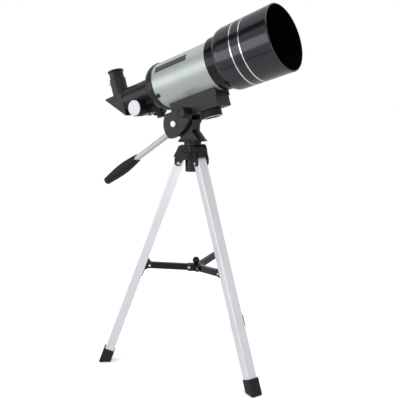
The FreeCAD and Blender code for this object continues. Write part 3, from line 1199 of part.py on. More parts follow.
def all_nodes():
    tube_frame = {
        "dew_shield": dew_shield(), "trim_rings": trim_rings(), "objective_cell": objective_cell(),
        "crown_lens": crown_lens(), "flint_lens": flint_lens(), "lens_retaining_ring": lens_retaining_ring(),
        "main_tube": main_tube(), "tube_label": tube_label(), "tube_baffle": tube_baffle(),
        "focuser_housing": focuser_housing(), "flange_screws": flange_screws(), "saddle": saddle(),
        "saddle_screws": saddle_screws(), "drawtube": drawtube(), "focus_rack": focus_rack(),
        "focus_shaft": focus_shaft(), "focus_knob_near": focus_knob(-1), "focus_knob_far": focus_knob(1),
        "focus_caps": focus_caps(), "pinion_cover": pinion_cover(), "pinion_cover_screws": pinion_cover_screws(),
        "focus_lock_screw": focus_lock_screw(), "diagonal_body": diagonal_body(), "diagonal_nose": diagonal_nose(),
        "diagonal_mirror": diagonal_mirror(), "diagonal_cover": diagonal_cover(),
        "eyepiece_holder": eyepiece_holder(), "eyepiece_screw": eyepiece_screw(),
        "eyepiece_barrel": eyepiece_barrel(), "eyepiece_body": eyepiece_body(), "field_lens": field_lens(),
        "eye_lens": eye_lens(), "tilt_platform": tilt_platform(), "camera_screw": camera_screw()}
    nodes = {name: in_tube_frame(shape) for name, shape in tube_frame.items()}
    nodes.update({
        "tilt_bolt": tilt_bolt(), "tilt_nuts": tilt_nuts(), "tilt_lock_knob": tilt_lock_knob(),
        "handle_rod": handle_rod(), "handle_grip": handle_grip(), "pan_base": pan_base(),
        "pan_washer": pan_washer(), "pan_screw": pan_screw(), "crown": crown(), "leg_pins": leg_pins(),
        "spreader_hub": spreader_hub(), "hub_cap": hub_cap(), "hub_rivets": hub_rivets()})
    for name, azimuth in LEG_AZIMUTHS.items():
        nodes["leg_" + name] = leg(azimuth)
        nodes["foot_" + name] = foot(azimuth)
        nodes["bracket_" + name] = bracket(azimuth)
        nodes["arm_" + name] = arm(azimuth)
    return nodes


def main():
    os.makedirs("parts", exist_ok=True)
    for name, shape in all_nodes().items():
        shape.exportStep("parts/%s.step" % name)
        print("%-22s solids %d  valid %s  volume %.1f" % (name, len(shape.Solids), shape.isValid(),
                                                          shape.Volume))


main()
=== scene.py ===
"""Telescope on a tripod: materials, small trim pieces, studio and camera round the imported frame."""

import json
import math

import bmesh
import bpy
import numpy as np
from mathutils import Matrix, Vector


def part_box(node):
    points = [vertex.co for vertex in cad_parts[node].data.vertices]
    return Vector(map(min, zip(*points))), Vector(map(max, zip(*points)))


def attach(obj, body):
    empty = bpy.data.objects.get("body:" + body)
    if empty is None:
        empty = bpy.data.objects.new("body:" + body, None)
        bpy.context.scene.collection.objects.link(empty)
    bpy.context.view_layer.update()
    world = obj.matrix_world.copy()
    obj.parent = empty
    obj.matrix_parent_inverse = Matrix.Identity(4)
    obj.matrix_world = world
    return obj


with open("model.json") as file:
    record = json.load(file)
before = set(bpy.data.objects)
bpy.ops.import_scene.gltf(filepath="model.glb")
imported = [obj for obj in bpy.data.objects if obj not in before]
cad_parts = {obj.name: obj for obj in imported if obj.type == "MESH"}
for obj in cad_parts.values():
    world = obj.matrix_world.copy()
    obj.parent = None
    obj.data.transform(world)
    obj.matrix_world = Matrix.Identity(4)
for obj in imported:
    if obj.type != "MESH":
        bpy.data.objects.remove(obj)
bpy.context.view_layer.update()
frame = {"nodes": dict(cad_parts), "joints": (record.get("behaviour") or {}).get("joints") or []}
NODES = frame["nodes"]
JOINTS = {joint["name"]: joint for joint in frame["joints"]}
MM = 0.001
BEVEL_SAMPLES = 4
ROOM_LOW, ROOM_HIGH = 0.72, 0.62      # brightness of the room below the horizon and overhead
LEFT_BRIGHTNESS = 1.7
TOP_BRIGHTNESS = 1.1
RIGHT_BRIGHTNESS = 1.5
FLOOR_GLOW = 0.3
FLOOR_RADIUS = 1.6
SHIELD_BACK = 0.04                    # the left light and the cards are placed from this far behind the mouth

# the black cards, from that point: the way to each, how far off it is, and how long and wide
STRIPE_WAY = Vector((-0.66, -0.47, 0.585))
STRIPE_DISTANCE, STRIPE_LENGTH, STRIPE_WIDTH = 0.8, 2.6, 0.25
LINE_WAY = Vector((-0.30, -0.705, -0.60))
LINE_FACING = Vector((-0.30, -0.705, -0.643))
LINE_DISTANCE, LINE_LENGTH, LINE_WIDTH = 0.72, 1.6, 0.03


# ---------------------------------------------------------------- directions and sizes read from the frame


def points_of(node):
    """A CAD node's vertices at rest, as an array."""
    return np.array([vertex.co for vertex in NODES[node].data.vertices], float)


def long_axis(node):
    """The direction in which a node is longest, and the middle of its points."""
    points = points_of(node)
    middle = points.mean(0)
    values, vectors = np.linalg.eigh(np.cov((points - middle).T))
    return Vector(vectors[:, np.argmax(values)]), Vector(middle)


def axes_along(direction, up=(0, 0, 1)):
    """A rotation that takes a direction to +X, with the given up as near to +Z as it goes."""
    x = Vector(direction).normalized()
    y = Vector(up).cross(x).normalized()
    return Matrix((x, y, x.cross(y)))


TUBE = Vector(JOINTS["focus_slide"]["axis"]).normalized()
if TUBE.x < 0:
    TUBE = -TUBE
TO_TUBE = axes_along(TUBE)
TUBE_LOW, TUBE_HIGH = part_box("main_tube")
OPTICAL = (TUBE_LOW + TUBE_HIGH) / 2          # a point on the optical axis


def tube_extent(node):
    """A node's lowest and highest corner with X along the tube and the optical axis at Y = Z = 0."""
    turned = (points_of(node) - np.array(OPTICAL)) @ np.array(TO_TUBE).T
    return turned.min(0), turned.max(0)


def from_tube(x, y, z):
    """A point given along, across and above the optical axis, in the row frame."""
    return OPTICAL + TO_TUBE.transposed() @ Vector((x, y, z))


# ---------------------------------------------------------------- material nodes


class Look:
    """One procedural material and the node that its maps read their places from."""

    def __init__(self, name, direction=(1, 0, 0), middle=(0, 0, 0)):
        self.material = bpy.data.materials.new(name)
        self.material.use_nodes = True
        self.tree = self.material.node_tree
        self.tree.nodes.clear()
        self.shader = self.add("ShaderNodeBsdfPrincipled")
        output = self.add("ShaderNodeOutputMaterial")
        self.link(self.shader.outputs["BSDF"], output.inputs["Surface"])
        self.coordinates = self.add("ShaderNodeTexCoord")
        place = self.add("ShaderNodeVectorMath", operation="SUBTRACT")
        self.link(self.coordinates.outputs["Object"], place.inputs[0])
        place.inputs[1].default_value = middle
        turn = self.add("ShaderNodeMapping")
        turn.inputs["Rotation"].default_value = axes_along(direction).to_euler()
        self.link(place.outputs[0], turn.inputs["Vector"])
        self.place = turn.outputs["Vector"]
        self.normal = None

    def add(self, kind, **settings):
        node = self.tree.nodes.new(kind)
        for key, value in settings.items():
            setattr(node, key, value)
        return node

    def link(self, source, target):
        self.tree.links.new(source, target)

    def socket(self, name, value):
        self.shader.inputs[name].default_value = value

    def math(self, operation, first, second=None, clamp=False):
        node = self.add("ShaderNodeMath", operation=operation, use_clamp=clamp)
        for slot, value in enumerate((first, second)):
            if value is None:
                continue
            if isinstance(value, bpy.types.NodeSocket):
                self.link(value, node.inputs[slot])
            else:
                node.inputs[slot].default_value = value
        return node.outputs[0]

    def scaled(self, stretch):
        node = self.add("ShaderNodeVectorMath", operation="MULTIPLY")
        self.link(self.place, node.inputs[0])
        node.inputs[1].default_value = stretch
        return node.outputs[0]

    def noise(self, size, stretch=(1, 1, 1), detail=3.0, rough=0.55):
        """Noise whose features are about size metres across, and longer where stretch is under 1."""
        node = self.add("ShaderNodeTexNoise")
        self.link(self.scaled(tuple(s / size for s in stretch)), node.inputs["Vector"])
        node.inputs["Scale"].default_value = 1.0
        node.inputs["Detail"].default_value = detail
        node.inputs["Roughness"].default_value = rough
        return node.outputs["Fac"]

    def cells(self, size):
        """How far a point is from the middle of its cell; cells are about size metres across."""
        node = self.add("ShaderNodeTexVoronoi")
        self.link(self.scaled((1 / size, 1 / size, 1 / size)), node.inputs["Vector"])
        node.inputs["Scale"].default_value = 1.0
        return node.outputs["Distance"]

    def spread(self, value, low, high, to_low=0.0, to_high=1.0):
        node = self.add("ShaderNodeMapRange")
        self.link(value, node.inputs["Value"])
        for name, number in zip(("From Min", "From Max", "To Min", "To Max"), (low, high, to_low, to_high)):
            node.inputs[name].default_value = number
        return node.outputs["Result"]

    def mix(self, amount, first, second):
        """A colour between first and second, each of which is a colour or a socket."""
        node = self.add("ShaderNodeMix", data_type="RGBA")
        self.link(amount, node.inputs["Factor"])
        for slot, value in ((6, first), (7, second)):
            if isinstance(value, bpy.types.NodeSocket):
                self.link(value, node.inputs[slot])
            else:
                node.inputs[slot].default_value = (*value, 1.0)
        return node.outputs[2]

    def edges(self, radius):
        """How near a point is to a corner or edge, from 0 to 1."""
        bevel = self.add("ShaderNodeBevel", samples=BEVEL_SAMPLES)
        bevel.inputs["Radius"].default_value = radius
        geometry = self.add("ShaderNodeNewGeometry")
        dot = self.add("ShaderNodeVectorMath", operation="DOT_PRODUCT")
        self.link(bevel.outputs["Normal"], dot.inputs[0])
        self.link(geometry.outputs["Normal"], dot.inputs[1])
        return self.spread(dot.outputs["Value"], 1.0, 0.9)

    def rounded(self, radius):
        """Softens the look of every edge, as a moulded or machined part has."""
        bevel = self.add("ShaderNodeBevel", samples=BEVEL_SAMPLES)
        bevel.inputs["Radius"].default_value = radius
        self.normal = bevel.outputs["Normal"]

    def bump(self, height, depth, strength=1.0):
        node = self.add("ShaderNodeBump")
        node.inputs["Strength"].default_value = strength
        node.inputs["Distance"].default_value = depth
        self.link(height, node.inputs["Height"])
        if self.normal is not None:
            self.link(self.normal, node.inputs["Normal"])
        self.normal = node.outputs["Normal"]

    def finish(self, colour, roughness):
        """Joins the maps to the shader."""
        for name, value in (("Base Color", colour), ("Roughness", roughness)):
            if isinstance(value, bpy.types.NodeSocket):
                self.link(value, self.shader.inputs[name])
            else:
                self.socket(name, value)
        if self.normal is not None:
            self.link(self.normal, self.shader.inputs["Normal"])
        return self.material


def shade(colour, factor):
    return tuple(min(1.0, channel * factor) for channel in colour)


def moulded(name, colour, gloss, grain=0.5 * MM, depth=0.02 * MM, edge=0.35 * MM, wear=1.9, **place):
    """Moulded black or grey plastic: fine grain, uneven gloss, scuffed and paler edges, a little dust."""
    look = Look(name, **place)
    look.socket("Specular IOR Level", 0.3)
    look.rounded(edge)
    look.bump(look.noise(grain, detail=2.0), depth)
    look.bump(look.noise(14 * grain, detail=2.0), depth * 2, 0.4)
    cloud = look.noise(18 * MM)
    tone = look.mix(look.spread(cloud, 0.3, 0.7), shade(colour, 0.82), shade(colour, 1.2))
    speck = look.spread(look.noise(0.9 * MM, detail=4.0, rough=0.7), 0.66, 0.8)
    tone = look.mix(look.math("MULTIPLY", speck, 0.25), tone, shade(colour, 2.2))
    patches = look.spread(look.noise(2.5 * MM), 0.4, 0.65)
    scuff = look.math("MULTIPLY", look.edges(edge * 1.6), patches, clamp=True)
    tone = look.mix(look.math("MULTIPLY", scuff, 0.6), tone, shade(colour, wear))
    smear = look.noise(9 * MM, (0.35, 1, 1), detail=5.0)
    rough = look.spread(smear, 0.25, 0.75, gloss * 0.82, gloss * 1.22)
    return look.finish(tone, rough)


def brushed(name, colour, gloss, metal, lines=0.35 * MM, length=60.0, depth=0.008 * MM,
            edge=0.25 * MM, **place):
    """Metal with fine lines along its length, faint blotches, and painted shade in patches along its edges,
    standing in for rounded corners that reflect darker.
    """
    look = Look(name, **place)
    look.socket("Metallic", metal)
    look.rounded(edge)
    streak = look.noise(lines, (1 / length, 1, 1), detail=3.0)
    look.bump(streak, depth)
    cloud = look.noise(25 * MM, (0.4, 1, 1))
    tone = look.mix(look.spread(cloud, 0.3, 0.7), shade(colour, 0.94), shade(colour, 1.04))
    tone = look.mix(look.math("MULTIPLY", look.spread(streak, 0.35, 0.6), 0.35), tone, shade(colour, 0.86))
    patches = look.spread(look.noise(1.6 * MM), 0.45, 0.6)
    # painted shade: patches along the edges are darkened as if the rounded corners reflected darker
    painted_edge_shade = look.math("MULTIPLY", look.edges(edge * 1.6), patches, clamp=True)
    tone = look.mix(look.math("MULTIPLY", painted_edge_shade, 0.5), tone, shade(colour, 0.6))
    rough = look.spread(look.noise(6 * MM, (0.1, 1, 1), detail=4.0), 0.25, 0.75, gloss * 0.85, gloss * 1.2)
    return look.finish(tone, rough)


def turned_metal(name, colour, gloss, metal, centre, axis, pitch=0.25 * MM):
    """Metal finished on a lathe: fine rings round an axis."""
    look = Look(name, direction=axis, middle=centre)
    look.socket("Metallic", metal)
    look.rounded(0.2 * MM)
    parts = look.add("ShaderNodeSeparateXYZ")
    look.link(look.place, parts.inputs[0])
    radius = look.math("SQRT", look.math("ADD", look.math("POWER", parts.outputs[1], 2.0),
                                         look.math("POWER", parts.outputs[2], 2.0)))
    run = look.math("ADD", radius, parts.outputs[0])
    ring = look.math("SINE", look.math("MULTIPLY", run, math.tau / pitch))
    uneven = look.math("MULTIPLY", ring, look.noise(1.5 * MM))
    look.bump(uneven, 0.006 * MM)
    cloud = look.noise(5 * MM)
    tone = look.mix(look.spread(cloud, 0.3, 0.7), shade(colour, 0.95), shade(colour, 1.03))
    tone = look.mix(look.math("MULTIPLY", look.spread(look.noise(0.7 * MM, detail=5.0), 0.6, 0.75), 0.3),
                    tone, shade(colour, 0.8))
    rough = look.spread(look.noise(3 * MM, detail=4.0), 0.25, 0.75, gloss * 0.85, gloss * 1.2)
    return look.finish(tone, rough)


def stippled(name, colour, gloss, pebble=0.9 * MM, depth=0.06 * MM, **place):
    """Rubber: pebbled, matte, paler where it rubs."""
    look = Look(name, **place)
    look.socket("Specular IOR Level", 0.3)
    look.rounded(0.5 * MM)
    pebbles = look.cells(pebble)
    look.bump(pebbles, depth, 0.7)
    look.bump(look.noise(5 * MM), depth * 2, 0.4)
    tone = look.mix(look.spread(look.noise(12 * MM), 0.3, 0.7), shade(colour, 0.85), shade(colour, 1.2))
    tone = look.mix(look.math("MULTIPLY", look.spread(pebbles, 0.1, 0.5), 0.35), tone, shade(colour, 0.6))
    rub = look.math("MULTIPLY", look.edges(0.8 * MM), look.spread(look.noise(3 * MM), 0.4, 0.6), clamp=True)
    tone = look.mix(look.math("MULTIPLY", rub, 0.7), tone, shade(colour, 1.9))
    rough = look.spread(look.noise(4 * MM, detail=4.0), 0.25, 0.75, gloss * 0.9, min(1.0, gloss * 1.12))
    return look.finish(tone, rough)


def glass(name, tint, film):
    """Lens glass with a thin anti-reflection coating, and the faintest dust."""
    look = Look(name)
    look.socket("Transmission Weight", 1.0)
    look.socket("IOR", 1.52)
    look.socket("Thin Film Thickness", film)
    look.socket("Thin Film IOR", 1.38)
    look.bump(look.noise(12 * MM), 0.002 * MM)
    dust = look.spread(look.noise(0.8 * MM, detail=5.0), 0.68, 0.8)
    tone = look.mix(look.math("MULTIPLY", dust, 0.2), tint, shade(tint, 0.7))
    rough = look.spread(look.noise(6 * MM, detail=4.0), 0.3, 0.8, 0.005, 0.05)
    return look.finish(tone, rough)


def shield_look():
    """Glossy black outside with fine rings from spinning, and dead black inside."""
    look = Look("shield_gloss_black", direction=TUBE, middle=OPTICAL)
    look.socket("IOR", 1.62)
    look.socket("Specular Tint", (0.93, 0.92, 1.0, 1.0))
    look.rounded(0.4 * MM)
    spun = look.noise(0.6 * MM, (1, 0.04, 0.04), detail=2.0)
    look.bump(spun, 0.004 * MM)
    look.bump(look.noise(7 * MM, detail=2.0), 0.02 * MM, 0.5)
    inward = look.add("ShaderNodeVectorMath", operation="DOT_PRODUCT")
    turned_normal = look.add("ShaderNodeMapping", vector_type="NORMAL")
    turned_normal.inputs["Rotation"].default_value = TO_TUBE.to_euler()
    look.link(look.coordinates.outputs["Normal"], turned_normal.inputs["Vector"])
    across = look.scaled((0, 1, 1))
    look.link(across, inward.inputs[0])
    look.link(turned_normal.outputs[0], inward.inputs[1])
    inside = look.spread(inward.outputs["Value"], -0.004, -0.012)
    cloud = look.spread(look.noise(20 * MM, (0.4, 1, 1)), 0.3, 0.7)
    outer = look.mix(cloud, (0.006, 0.006, 0.0085), (0.012, 0.0115, 0.015))
    speck = look.spread(look.noise(0.5 * MM, detail=4.0, rough=0.7), 0.7, 0.85)
    outer = look.mix(look.math("MULTIPLY", speck, 0.3), outer, (0.05, 0.05, 0.055))
    patches = look.spread(look.noise(3 * MM), 0.35, 0.6)
    chipped = look.math("MULTIPLY", look.edges(0.5 * MM), patches, clamp=True)
    outer = look.mix(look.math("MULTIPLY", chipped, 0.5), outer, (0.16, 0.16, 0.165))
    tone = look.mix(inside, outer, (0.0016, 0.0017, 0.0011))
    smear = look.spread(look.noise(11 * MM, (0.3, 1, 1), detail=5.0), 0.25, 0.75, 0.11, 0.19)
    rough = look.math("MAXIMUM", smear, look.math("MULTIPLY", inside, 0.9))
    look.link(look.spread(inside, 0.0, 1.0, 0.5, 0.02), look.shader.inputs["Specular IOR Level"])
    return look.finish(tone, rough)


def tube_look():
    """Pale green-silver paint over metal, with very fine lines round the tube."""
    look = Look("tube_green_silver", direction=TUBE, middle=OPTICAL)
    look.socket("Metallic", 0.45)
    look.socket("Coat Weight", 0.25)
    look.socket("Coat Roughness", 0.12)
    look.rounded(0.3 * MM)
    fine = look.noise(0.35 * MM, (1, 0.03, 0.03), detail=3.0)
    look.bump(fine, 0.006 * MM)
    look.bump(look.noise(9 * MM, detail=2.0), 0.02 * MM, 0.4)
    flake = look.spread(look.noise(0.25 * MM, detail=1.0), 0.5, 0.7)
    tone = look.mix(look.spread(look.noise(30 * MM), 0.3, 0.7), (0.445, 0.492, 0.488), (0.49, 0.53, 0.527))
    tone = look.mix(look.math("MULTIPLY", flake, 0.3), tone, (0.66, 0.71, 0.70))
    tone = look.mix(look.math("MULTIPLY", look.spread(fine, 0.4, 0.62), 0.22), tone, (0.33, 0.375, 0.368))
    rough = look.spread(look.noise(8 * MM, (0.3, 1, 1), detail=4.0), 0.25, 0.75, 0.34, 0.46)
    return look.finish(tone, rough)


def label_look():
    """Dark slate printed foil with a fine woven dot pattern and no lettering."""
    look = Look("label_slate_weave", direction=TUBE, middle=OPTICAL)
    look.socket("Coat Weight", 0.4)
    look.socket("Coat Roughness", 0.2)
    parts = look.add("ShaderNodeSeparateXYZ")
    look.link(look.place, parts.inputs[0])
    angle = look.math("MULTIPLY", look.math("ARCTAN2", parts.outputs[2], parts.outputs[1]), TUBE_RADIUS)
    waves = [look.math("SINE", look.math("MULTIPLY", value, math.tau / (1.3 * MM)))
             for value in (parts.outputs[0], angle)]
    weave = look.math("MULTIPLY", waves[0], waves[1])
    look.bump(weave, 0.02 * MM)
    tone = look.mix(look.spread(look.noise(7 * MM), 0.3, 0.7), (0.010, 0.012, 0.017), (0.024, 0.026, 0.033))
    tone = look.mix(look.math("MULTIPLY", look.spread(weave, 0.2, 0.9), 0.5), tone, (0.16, 0.165, 0.18))
    rough = look.spread(look.noise(3 * MM, detail=4.0), 0.25, 0.75, 0.3, 0.48)
    return look.finish(tone, rough)


def floor_look():
    look = Look("studio_floor")
    tone = look.mix(look.spread(look.noise(0.6), 0.3, 0.7), (0.93, 0.93, 0.935), (0.95, 0.95, 0.955))
    look.bump(look.noise(4 * MM), 0.02 * MM, 0.3)
    look.socket("Emission Color", (1.0, 1.0, 1.0, 1.0))
    look.socket("Emission Strength", FLOOR_GLOW)
    return look.finish(tone, look.spread(look.noise(0.2), 0.3, 0.7, 0.7, 0.85))


tube_low, tube_high = tube_extent("main_tube")
TUBE_RADIUS = (tube_high[2] - tube_low[2]) / 2

CAP_LOW, CAP_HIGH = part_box("focus_caps")
CAP_CENTRE = (CAP_LOW + CAP_HIGH) / 2
EYE_AXIS, EYE_CENTRE = long_axis("eyepiece_barrel")
ROD_AXIS, ROD_CENTRE = long_axis("handle_rod")
ALONG_TUBE = {"direction": TUBE, "middle": OPTICAL}
ALONG_EYEPIECE = {"direction": EYE_AXIS, "middle": EYE_CENTRE}
ALONG_ROD = {"direction": ROD_AXIS, "middle": ROD_CENTRE}
ACROSS = (0.0, 1.0, 0.0)

LOOKS = {
    "dew_shield": shield_look(),
    "trim_rings": turned_metal("trim_foil", (0.93, 0.93, 0.95), 0.16, 1.0, OPTICAL, TUBE),
    "main_tube": tube_look(),
    "tube_label": label_look(),
}
SLOT_LOOKS = {
    "cell_black": moulded("cell_black_paint", (0.008, 0.008, 0.0095), 0.16, **ALONG_TUBE),
    "coated_glass": glass("lens_coated_glass", (0.93, 0.97, 0.94), 118.0),
    "inner_black": moulded("inner_flat_black", (0.004, 0.004, 0.004), 0.85),
    "housing_black": moulded("housing_satin_black", (0.017, 0.0155, 0.0155), 0.3, **ALONG_TUBE),
    "screw_black": turned_metal("screw_blackened", (0.02, 0.02, 0.022), 0.3, 0.4, OPTICAL, TUBE),
    "saddle_black": moulded("saddle_charcoal", (0.0205, 0.018, 0.023), 0.42, **ALONG_TUBE),
    "drawtube_black": moulded("drawtube_black", (0.012, 0.012, 0.012), 0.25, **ALONG_TUBE),
    "screw_steel": turned_metal("screw_zinc", (0.52, 0.49, 0.47), 0.28, 1.0, ROD_CENTRE, ACROSS),
    "knob_black": moulded("knob_black", (0.007, 0.007, 0.0075), 0.34),
    "cap_silver": turned_metal("knob_cap_silver", (0.60, 0.61, 0.66), 0.38, 0.35, CAP_CENTRE, ACROSS,
                               0.4 * MM),
    "diagonal_black": moulded("diagonal_black", (0.0085, 0.0085, 0.008), 0.36, **ALONG_TUBE),
    "barrel_chrome": turned_metal("barrel_chrome", (0.84, 0.84, 0.86), 0.14, 1.0, EYE_CENTRE, EYE_AXIS),
    "mirror_glass": glass("mirror_glass", (0.8, 0.82, 0.84), 60.0),
    "eyepiece_black": moulded("eyepiece_black", (0.0085, 0.0085, 0.011), 0.18, **ALONG_EYEPIECE),
    "head_grey": moulded("head_charcoal", (0.021, 0.0188, 0.0225), 0.42),
    "base_black": moulded("pan_base_black", (0.005, 0.005, 0.0045), 0.3),
    "washer_plastic": moulded("washer_nylon", (0.05, 0.05, 0.052), 0.4),
    "crown_grey": moulded("crown_dark_grey", (0.0105, 0.0098, 0.0128), 0.34),
    "rod_steel": brushed("rod_steel", (0.62, 0.62, 0.62), 0.45, 0.25, **ALONG_ROD),
    "grip_rubber": stippled("grip_rubber", (0.0095, 0.0095, 0.0093), 0.62, **ALONG_ROD),
    "foot_rubber": stippled("foot_rubber", (0.0095, 0.0095, 0.012), 0.5),
    "bracket_black": moulded("bracket_black", (0.012, 0.012, 0.013), 0.3),
    "spreader_black": moulded("spreader_gloss_black", (0.0045, 0.0045, 0.005), 0.14, wear=6.0),
}
for side in ("left", "right", "rear"):
    axis, middle = long_axis("leg_" + side)
    LOOKS["leg_" + side] = brushed("leg_aluminium_" + side, (0.82, 0.82, 0.87), 0.36, 0.45,
                                   direction=axis, middle=middle)

for name, node in NODES.items():
    slot = node.data.materials[0].name.split(".")[0]
    look = LOOKS.get(name) or SLOT_LOOKS[slot]
    node.data.materials.clear()
    node.data.materials.append(look)


# ---------------------------------------------------------------- small pieces that the frame doesn't hold


def piece(name, build, body, look, smooth=True):
    """A mesh made by build(bm), riding on a body and its material."""
    bm = bmesh.new()
    build(bm)
    bmesh.ops.recalc_face_normals(bm, faces=bm.faces)
    mesh = bpy.data.meshes.new(name)
    bm.to_mesh(mesh)
    bm.free()
    for polygon in mesh.polygons:
        polygon.use_smooth = smooth
    thing = bpy.data.objects.new(name, mesh)
    bpy.context.scene.collection.objects.link(thing)
    mesh.materials.append(look)
    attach(thing, body)
    return thing


def band(bm, centre, axis, outline, segments=96):
    """A closed outline of (radius, height) turned about an axis."""
    turn = axes_along(axis, up=(0, 1, 0.01)).transposed()
    rows = []
    for step in range(segments):
        angle = math.tau * step / segments
        across = Vector((0, math.cos(angle), math.sin(angle)))
        rows.append([bm.verts.new(Vector(centre) + turn @ (across * r + Vector((h, 0, 0))))
                     for r, h in outline])
    count = len(outline)
    for step in range(segments):
        here, there = rows[step], rows[(step + 1) % segments]
        for k in range(count):
            bm.faces.new((here[k], here[(k + 1) % count], there[(k + 1) % count], there[k]))


def round_outline(inner, outer, low, high, ease):
    """A rectangle of radii and heights with its corners eased."""
    return [(inner + ease, low), (outer - ease, low), (outer, low + ease), (outer, high - ease),
            (outer - ease, high), (inner + ease, high), (inner, high - ease), (inner, low + ease)]


screw_axis = Vector(JOINTS["camera_screw_turn"]["axis"]).normalized()
if screw_axis.z > 0:
    screw_axis = -screw_axis
knob_points = points_of("camera_screw")
knob_centre = Vector(knob_points.mean(0))
knob_end = (knob_points @ np.array(screw_axis)).max()
knob_radius = (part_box("camera_screw")[1].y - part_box("camera_screw")[0].y) / 2
RING_WIDTH, RING_INSET, RING_SUNK = 2.6 * MM, 1.2 * MM, 1.2 * MM
RING_PROUD, RING_EASE = 0.35 * MM, 0.2 * MM
ring_centre = knob_centre + screw_axis * (knob_end - knob_centre.dot(screw_axis))
ring_outer = knob_radius - RING_INSET
ring_outline = round_outline(ring_outer - RING_WIDTH, ring_outer, -RING_SUNK, RING_PROUD, RING_EASE)
piece("camera_knob_ring", lambda bm: band(bm, ring_centre, screw_axis, ring_outline),
      "camera_screw",
      turned_metal("knob_ring_bright", (0.93, 0.93, 0.93), 0.14, 1.0, ring_centre, screw_axis))

# ---- label border, and a bright rim on the focuser housing's flat that paints the highlight along its edge


def curved_bar(bm, x_range, turn_range, radii, steps=12):
    """A bar bent round the tube, between two places along it, two turns from its top and two radii."""
    rings = []
    for step in range(steps + 1):
        turn = turn_range[0] + (turn_range[1] - turn_range[0]) * step / steps
        corners = [(x_range[k], radii[m]) for k, m in ((0, 0), (1, 0), (1, 1), (0, 1))]
        rings.append([bm.verts.new(from_tube(x, -r * math.sin(turn), r * math.cos(turn)))
                      for x, r in corners])
    for here, there in zip(rings, rings[1:]):
        for k in range(4):
            bm.faces.new((here[k], here[(k + 1) % 4], there[(k + 1) % 4], there[k]))
    bm.faces.new(rings[0])
    bm.faces.new(list(reversed(rings[-1])))


def straight_bar(bm, low, high):
    """A box between two corners given along, across and above the optical axis."""
    corners = [bm.verts.new(from_tube(*[(low, high)[i][n] for n, i in enumerate(pick)]))
               for pick in ((0, 0, 0), (1, 0, 0), (1, 1, 0), (0, 1, 0),
                            (0, 0, 1), (1, 0, 1), (1, 1, 1), (0, 1, 1))]
    for face in ((0, 1, 2, 3), (4, 5, 6, 7), (0, 1, 5, 4), (1, 2, 6, 5), (2, 3, 7, 6), (3, 0, 4, 7)):
        bm.faces.new([corners[k] for k in face])


label_points = (points_of("tube_label") - np.array(OPTICAL)) @ np.array(TO_TUBE).T
label_turns = np.arctan2(-label_points[:, 1], label_points[:, 2])
BORDER, BORDER_SUNK, BORDER_PROUD = 0.7 * MM, 0.1 * MM, 0.5 * MM
BORDER_TURN = BORDER / TUBE_RADIUS


def build_border(bm):
    x0, x1 = label_points[:, 0].min(), label_points[:, 0].max()
    a0, a1 = label_turns.min(), label_turns.max()
    radii = (TUBE_RADIUS - BORDER_SUNK, TUBE_RADIUS + BORDER_PROUD)
    for turns in ((a0 - BORDER_TURN, a0), (a1, a1 + BORDER_TURN)):
        curved_bar(bm, (x0 - BORDER, x1 + BORDER), turns, radii, 2)
    for ends in ((x0 - BORDER, x0), (x1, x1 + BORDER)):
        curved_bar(bm, ends, (a0, a1), radii)


piece("label_border", build_border, "tilt_head",
      brushed("label_border_silver", (0.66, 0.68, 0.68), 0.35, 0.7, **ALONG_TUBE), smooth=False)

FLAT_REAR, FLAT_FRONT = 68.5 * MM, 32.5 * MM      # how far the housing's flat is behind the tube
FLAT_FROM, FLAT_TO = tube_low[0] - FLAT_REAR, tube_low[0] - FLAT_FRONT
FLAT_DEPTH = 2 * MM
FLAT_ABOVE_COLLAR = 0.5 * MM          # the drawtube's collar is its widest part
FLAT_HEIGHT = tube_extent("drawtube")[1][2] + FLAT_ABOVE_COLLAR
FLAT_HALF = math.sqrt((FLAT_HEIGHT + FLAT_DEPTH) ** 2 - FLAT_HEIGHT ** 2)
RIM_WIDTH, RIM_SUNK, RIM_PROUD = 0.8 * MM, 0.3 * MM, 0.35 * MM
RIM_END_GAP, RIM_SIDE_GAP = 0.6 * MM, 0.5 * MM    # from the flat's ends and sides


# A bright metal rim round the housing's flat: a painted highlight, standing in for the light caught along the
# flat's edge.
def build_flat_highlight_rim(bm):
    low, high = FLAT_HEIGHT - RIM_SUNK, FLAT_HEIGHT + RIM_PROUD
    x0, x1 = FLAT_FROM + RIM_END_GAP, FLAT_TO - RIM_END_GAP
    half = FLAT_HALF - RIM_SIDE_GAP
    for side in (-1, 1):
        near, far = sorted((side * half, side * (half - RIM_WIDTH)))
        straight_bar(bm, (x0, near, low), (x1, far, high))
    for x in (x0, x1 - RIM_WIDTH):
        straight_bar(bm, (x, -half + RIM_WIDTH, low), (x + RIM_WIDTH, half - RIM_WIDTH, high))


# painted highlight: this bright rim stands where the flat's edge catches the light
piece("housing_flat_highlight_rim", build_flat_highlight_rim, "tilt_head",
      brushed("flat_rim_painted_highlight", (0.85, 0.85, 0.85), 0.22, 0.9, **ALONG_TUBE), smooth=False)

# ---- ribs across the front of the saddle
saddle_low, saddle_high = tube_extent("saddle")
RIBS = 7
RIB_WIDTH, RIB_PROUD, RIB_SUNK = 1.1 * MM, 0.9 * MM, 0.2 * MM
RIB_BOTTOM, RIB_TOP, RIB_SIDE_GAP = 1.0 * MM, 7.0 * MM, 1.5 * MM      # from the saddle's bottom and sides


def build_ribs(front, low, high, half):
    def build(bm):
        for k in range(RIBS):
            y = half * (2 * (k + 0.5) / RIBS - 1)
            straight_bar(bm, (front - RIB_SUNK, y - RIB_WIDTH / 2, low),
                         (front + RIB_PROUD, y + RIB_WIDTH / 2, high))
    return build


piece("saddle_ribs",
      build_ribs(saddle_high[0], saddle_low[2] + RIB_BOTTOM, saddle_low[2] + RIB_TOP,
                 saddle_high[1] - RIB_SIDE_GAP),
      "tilt_head",
      moulded("rib_black", (0.003, 0.003, 0.003), 0.35, **ALONG_TUBE), smooth=False)

# ---- domed heads on the spreader brackets


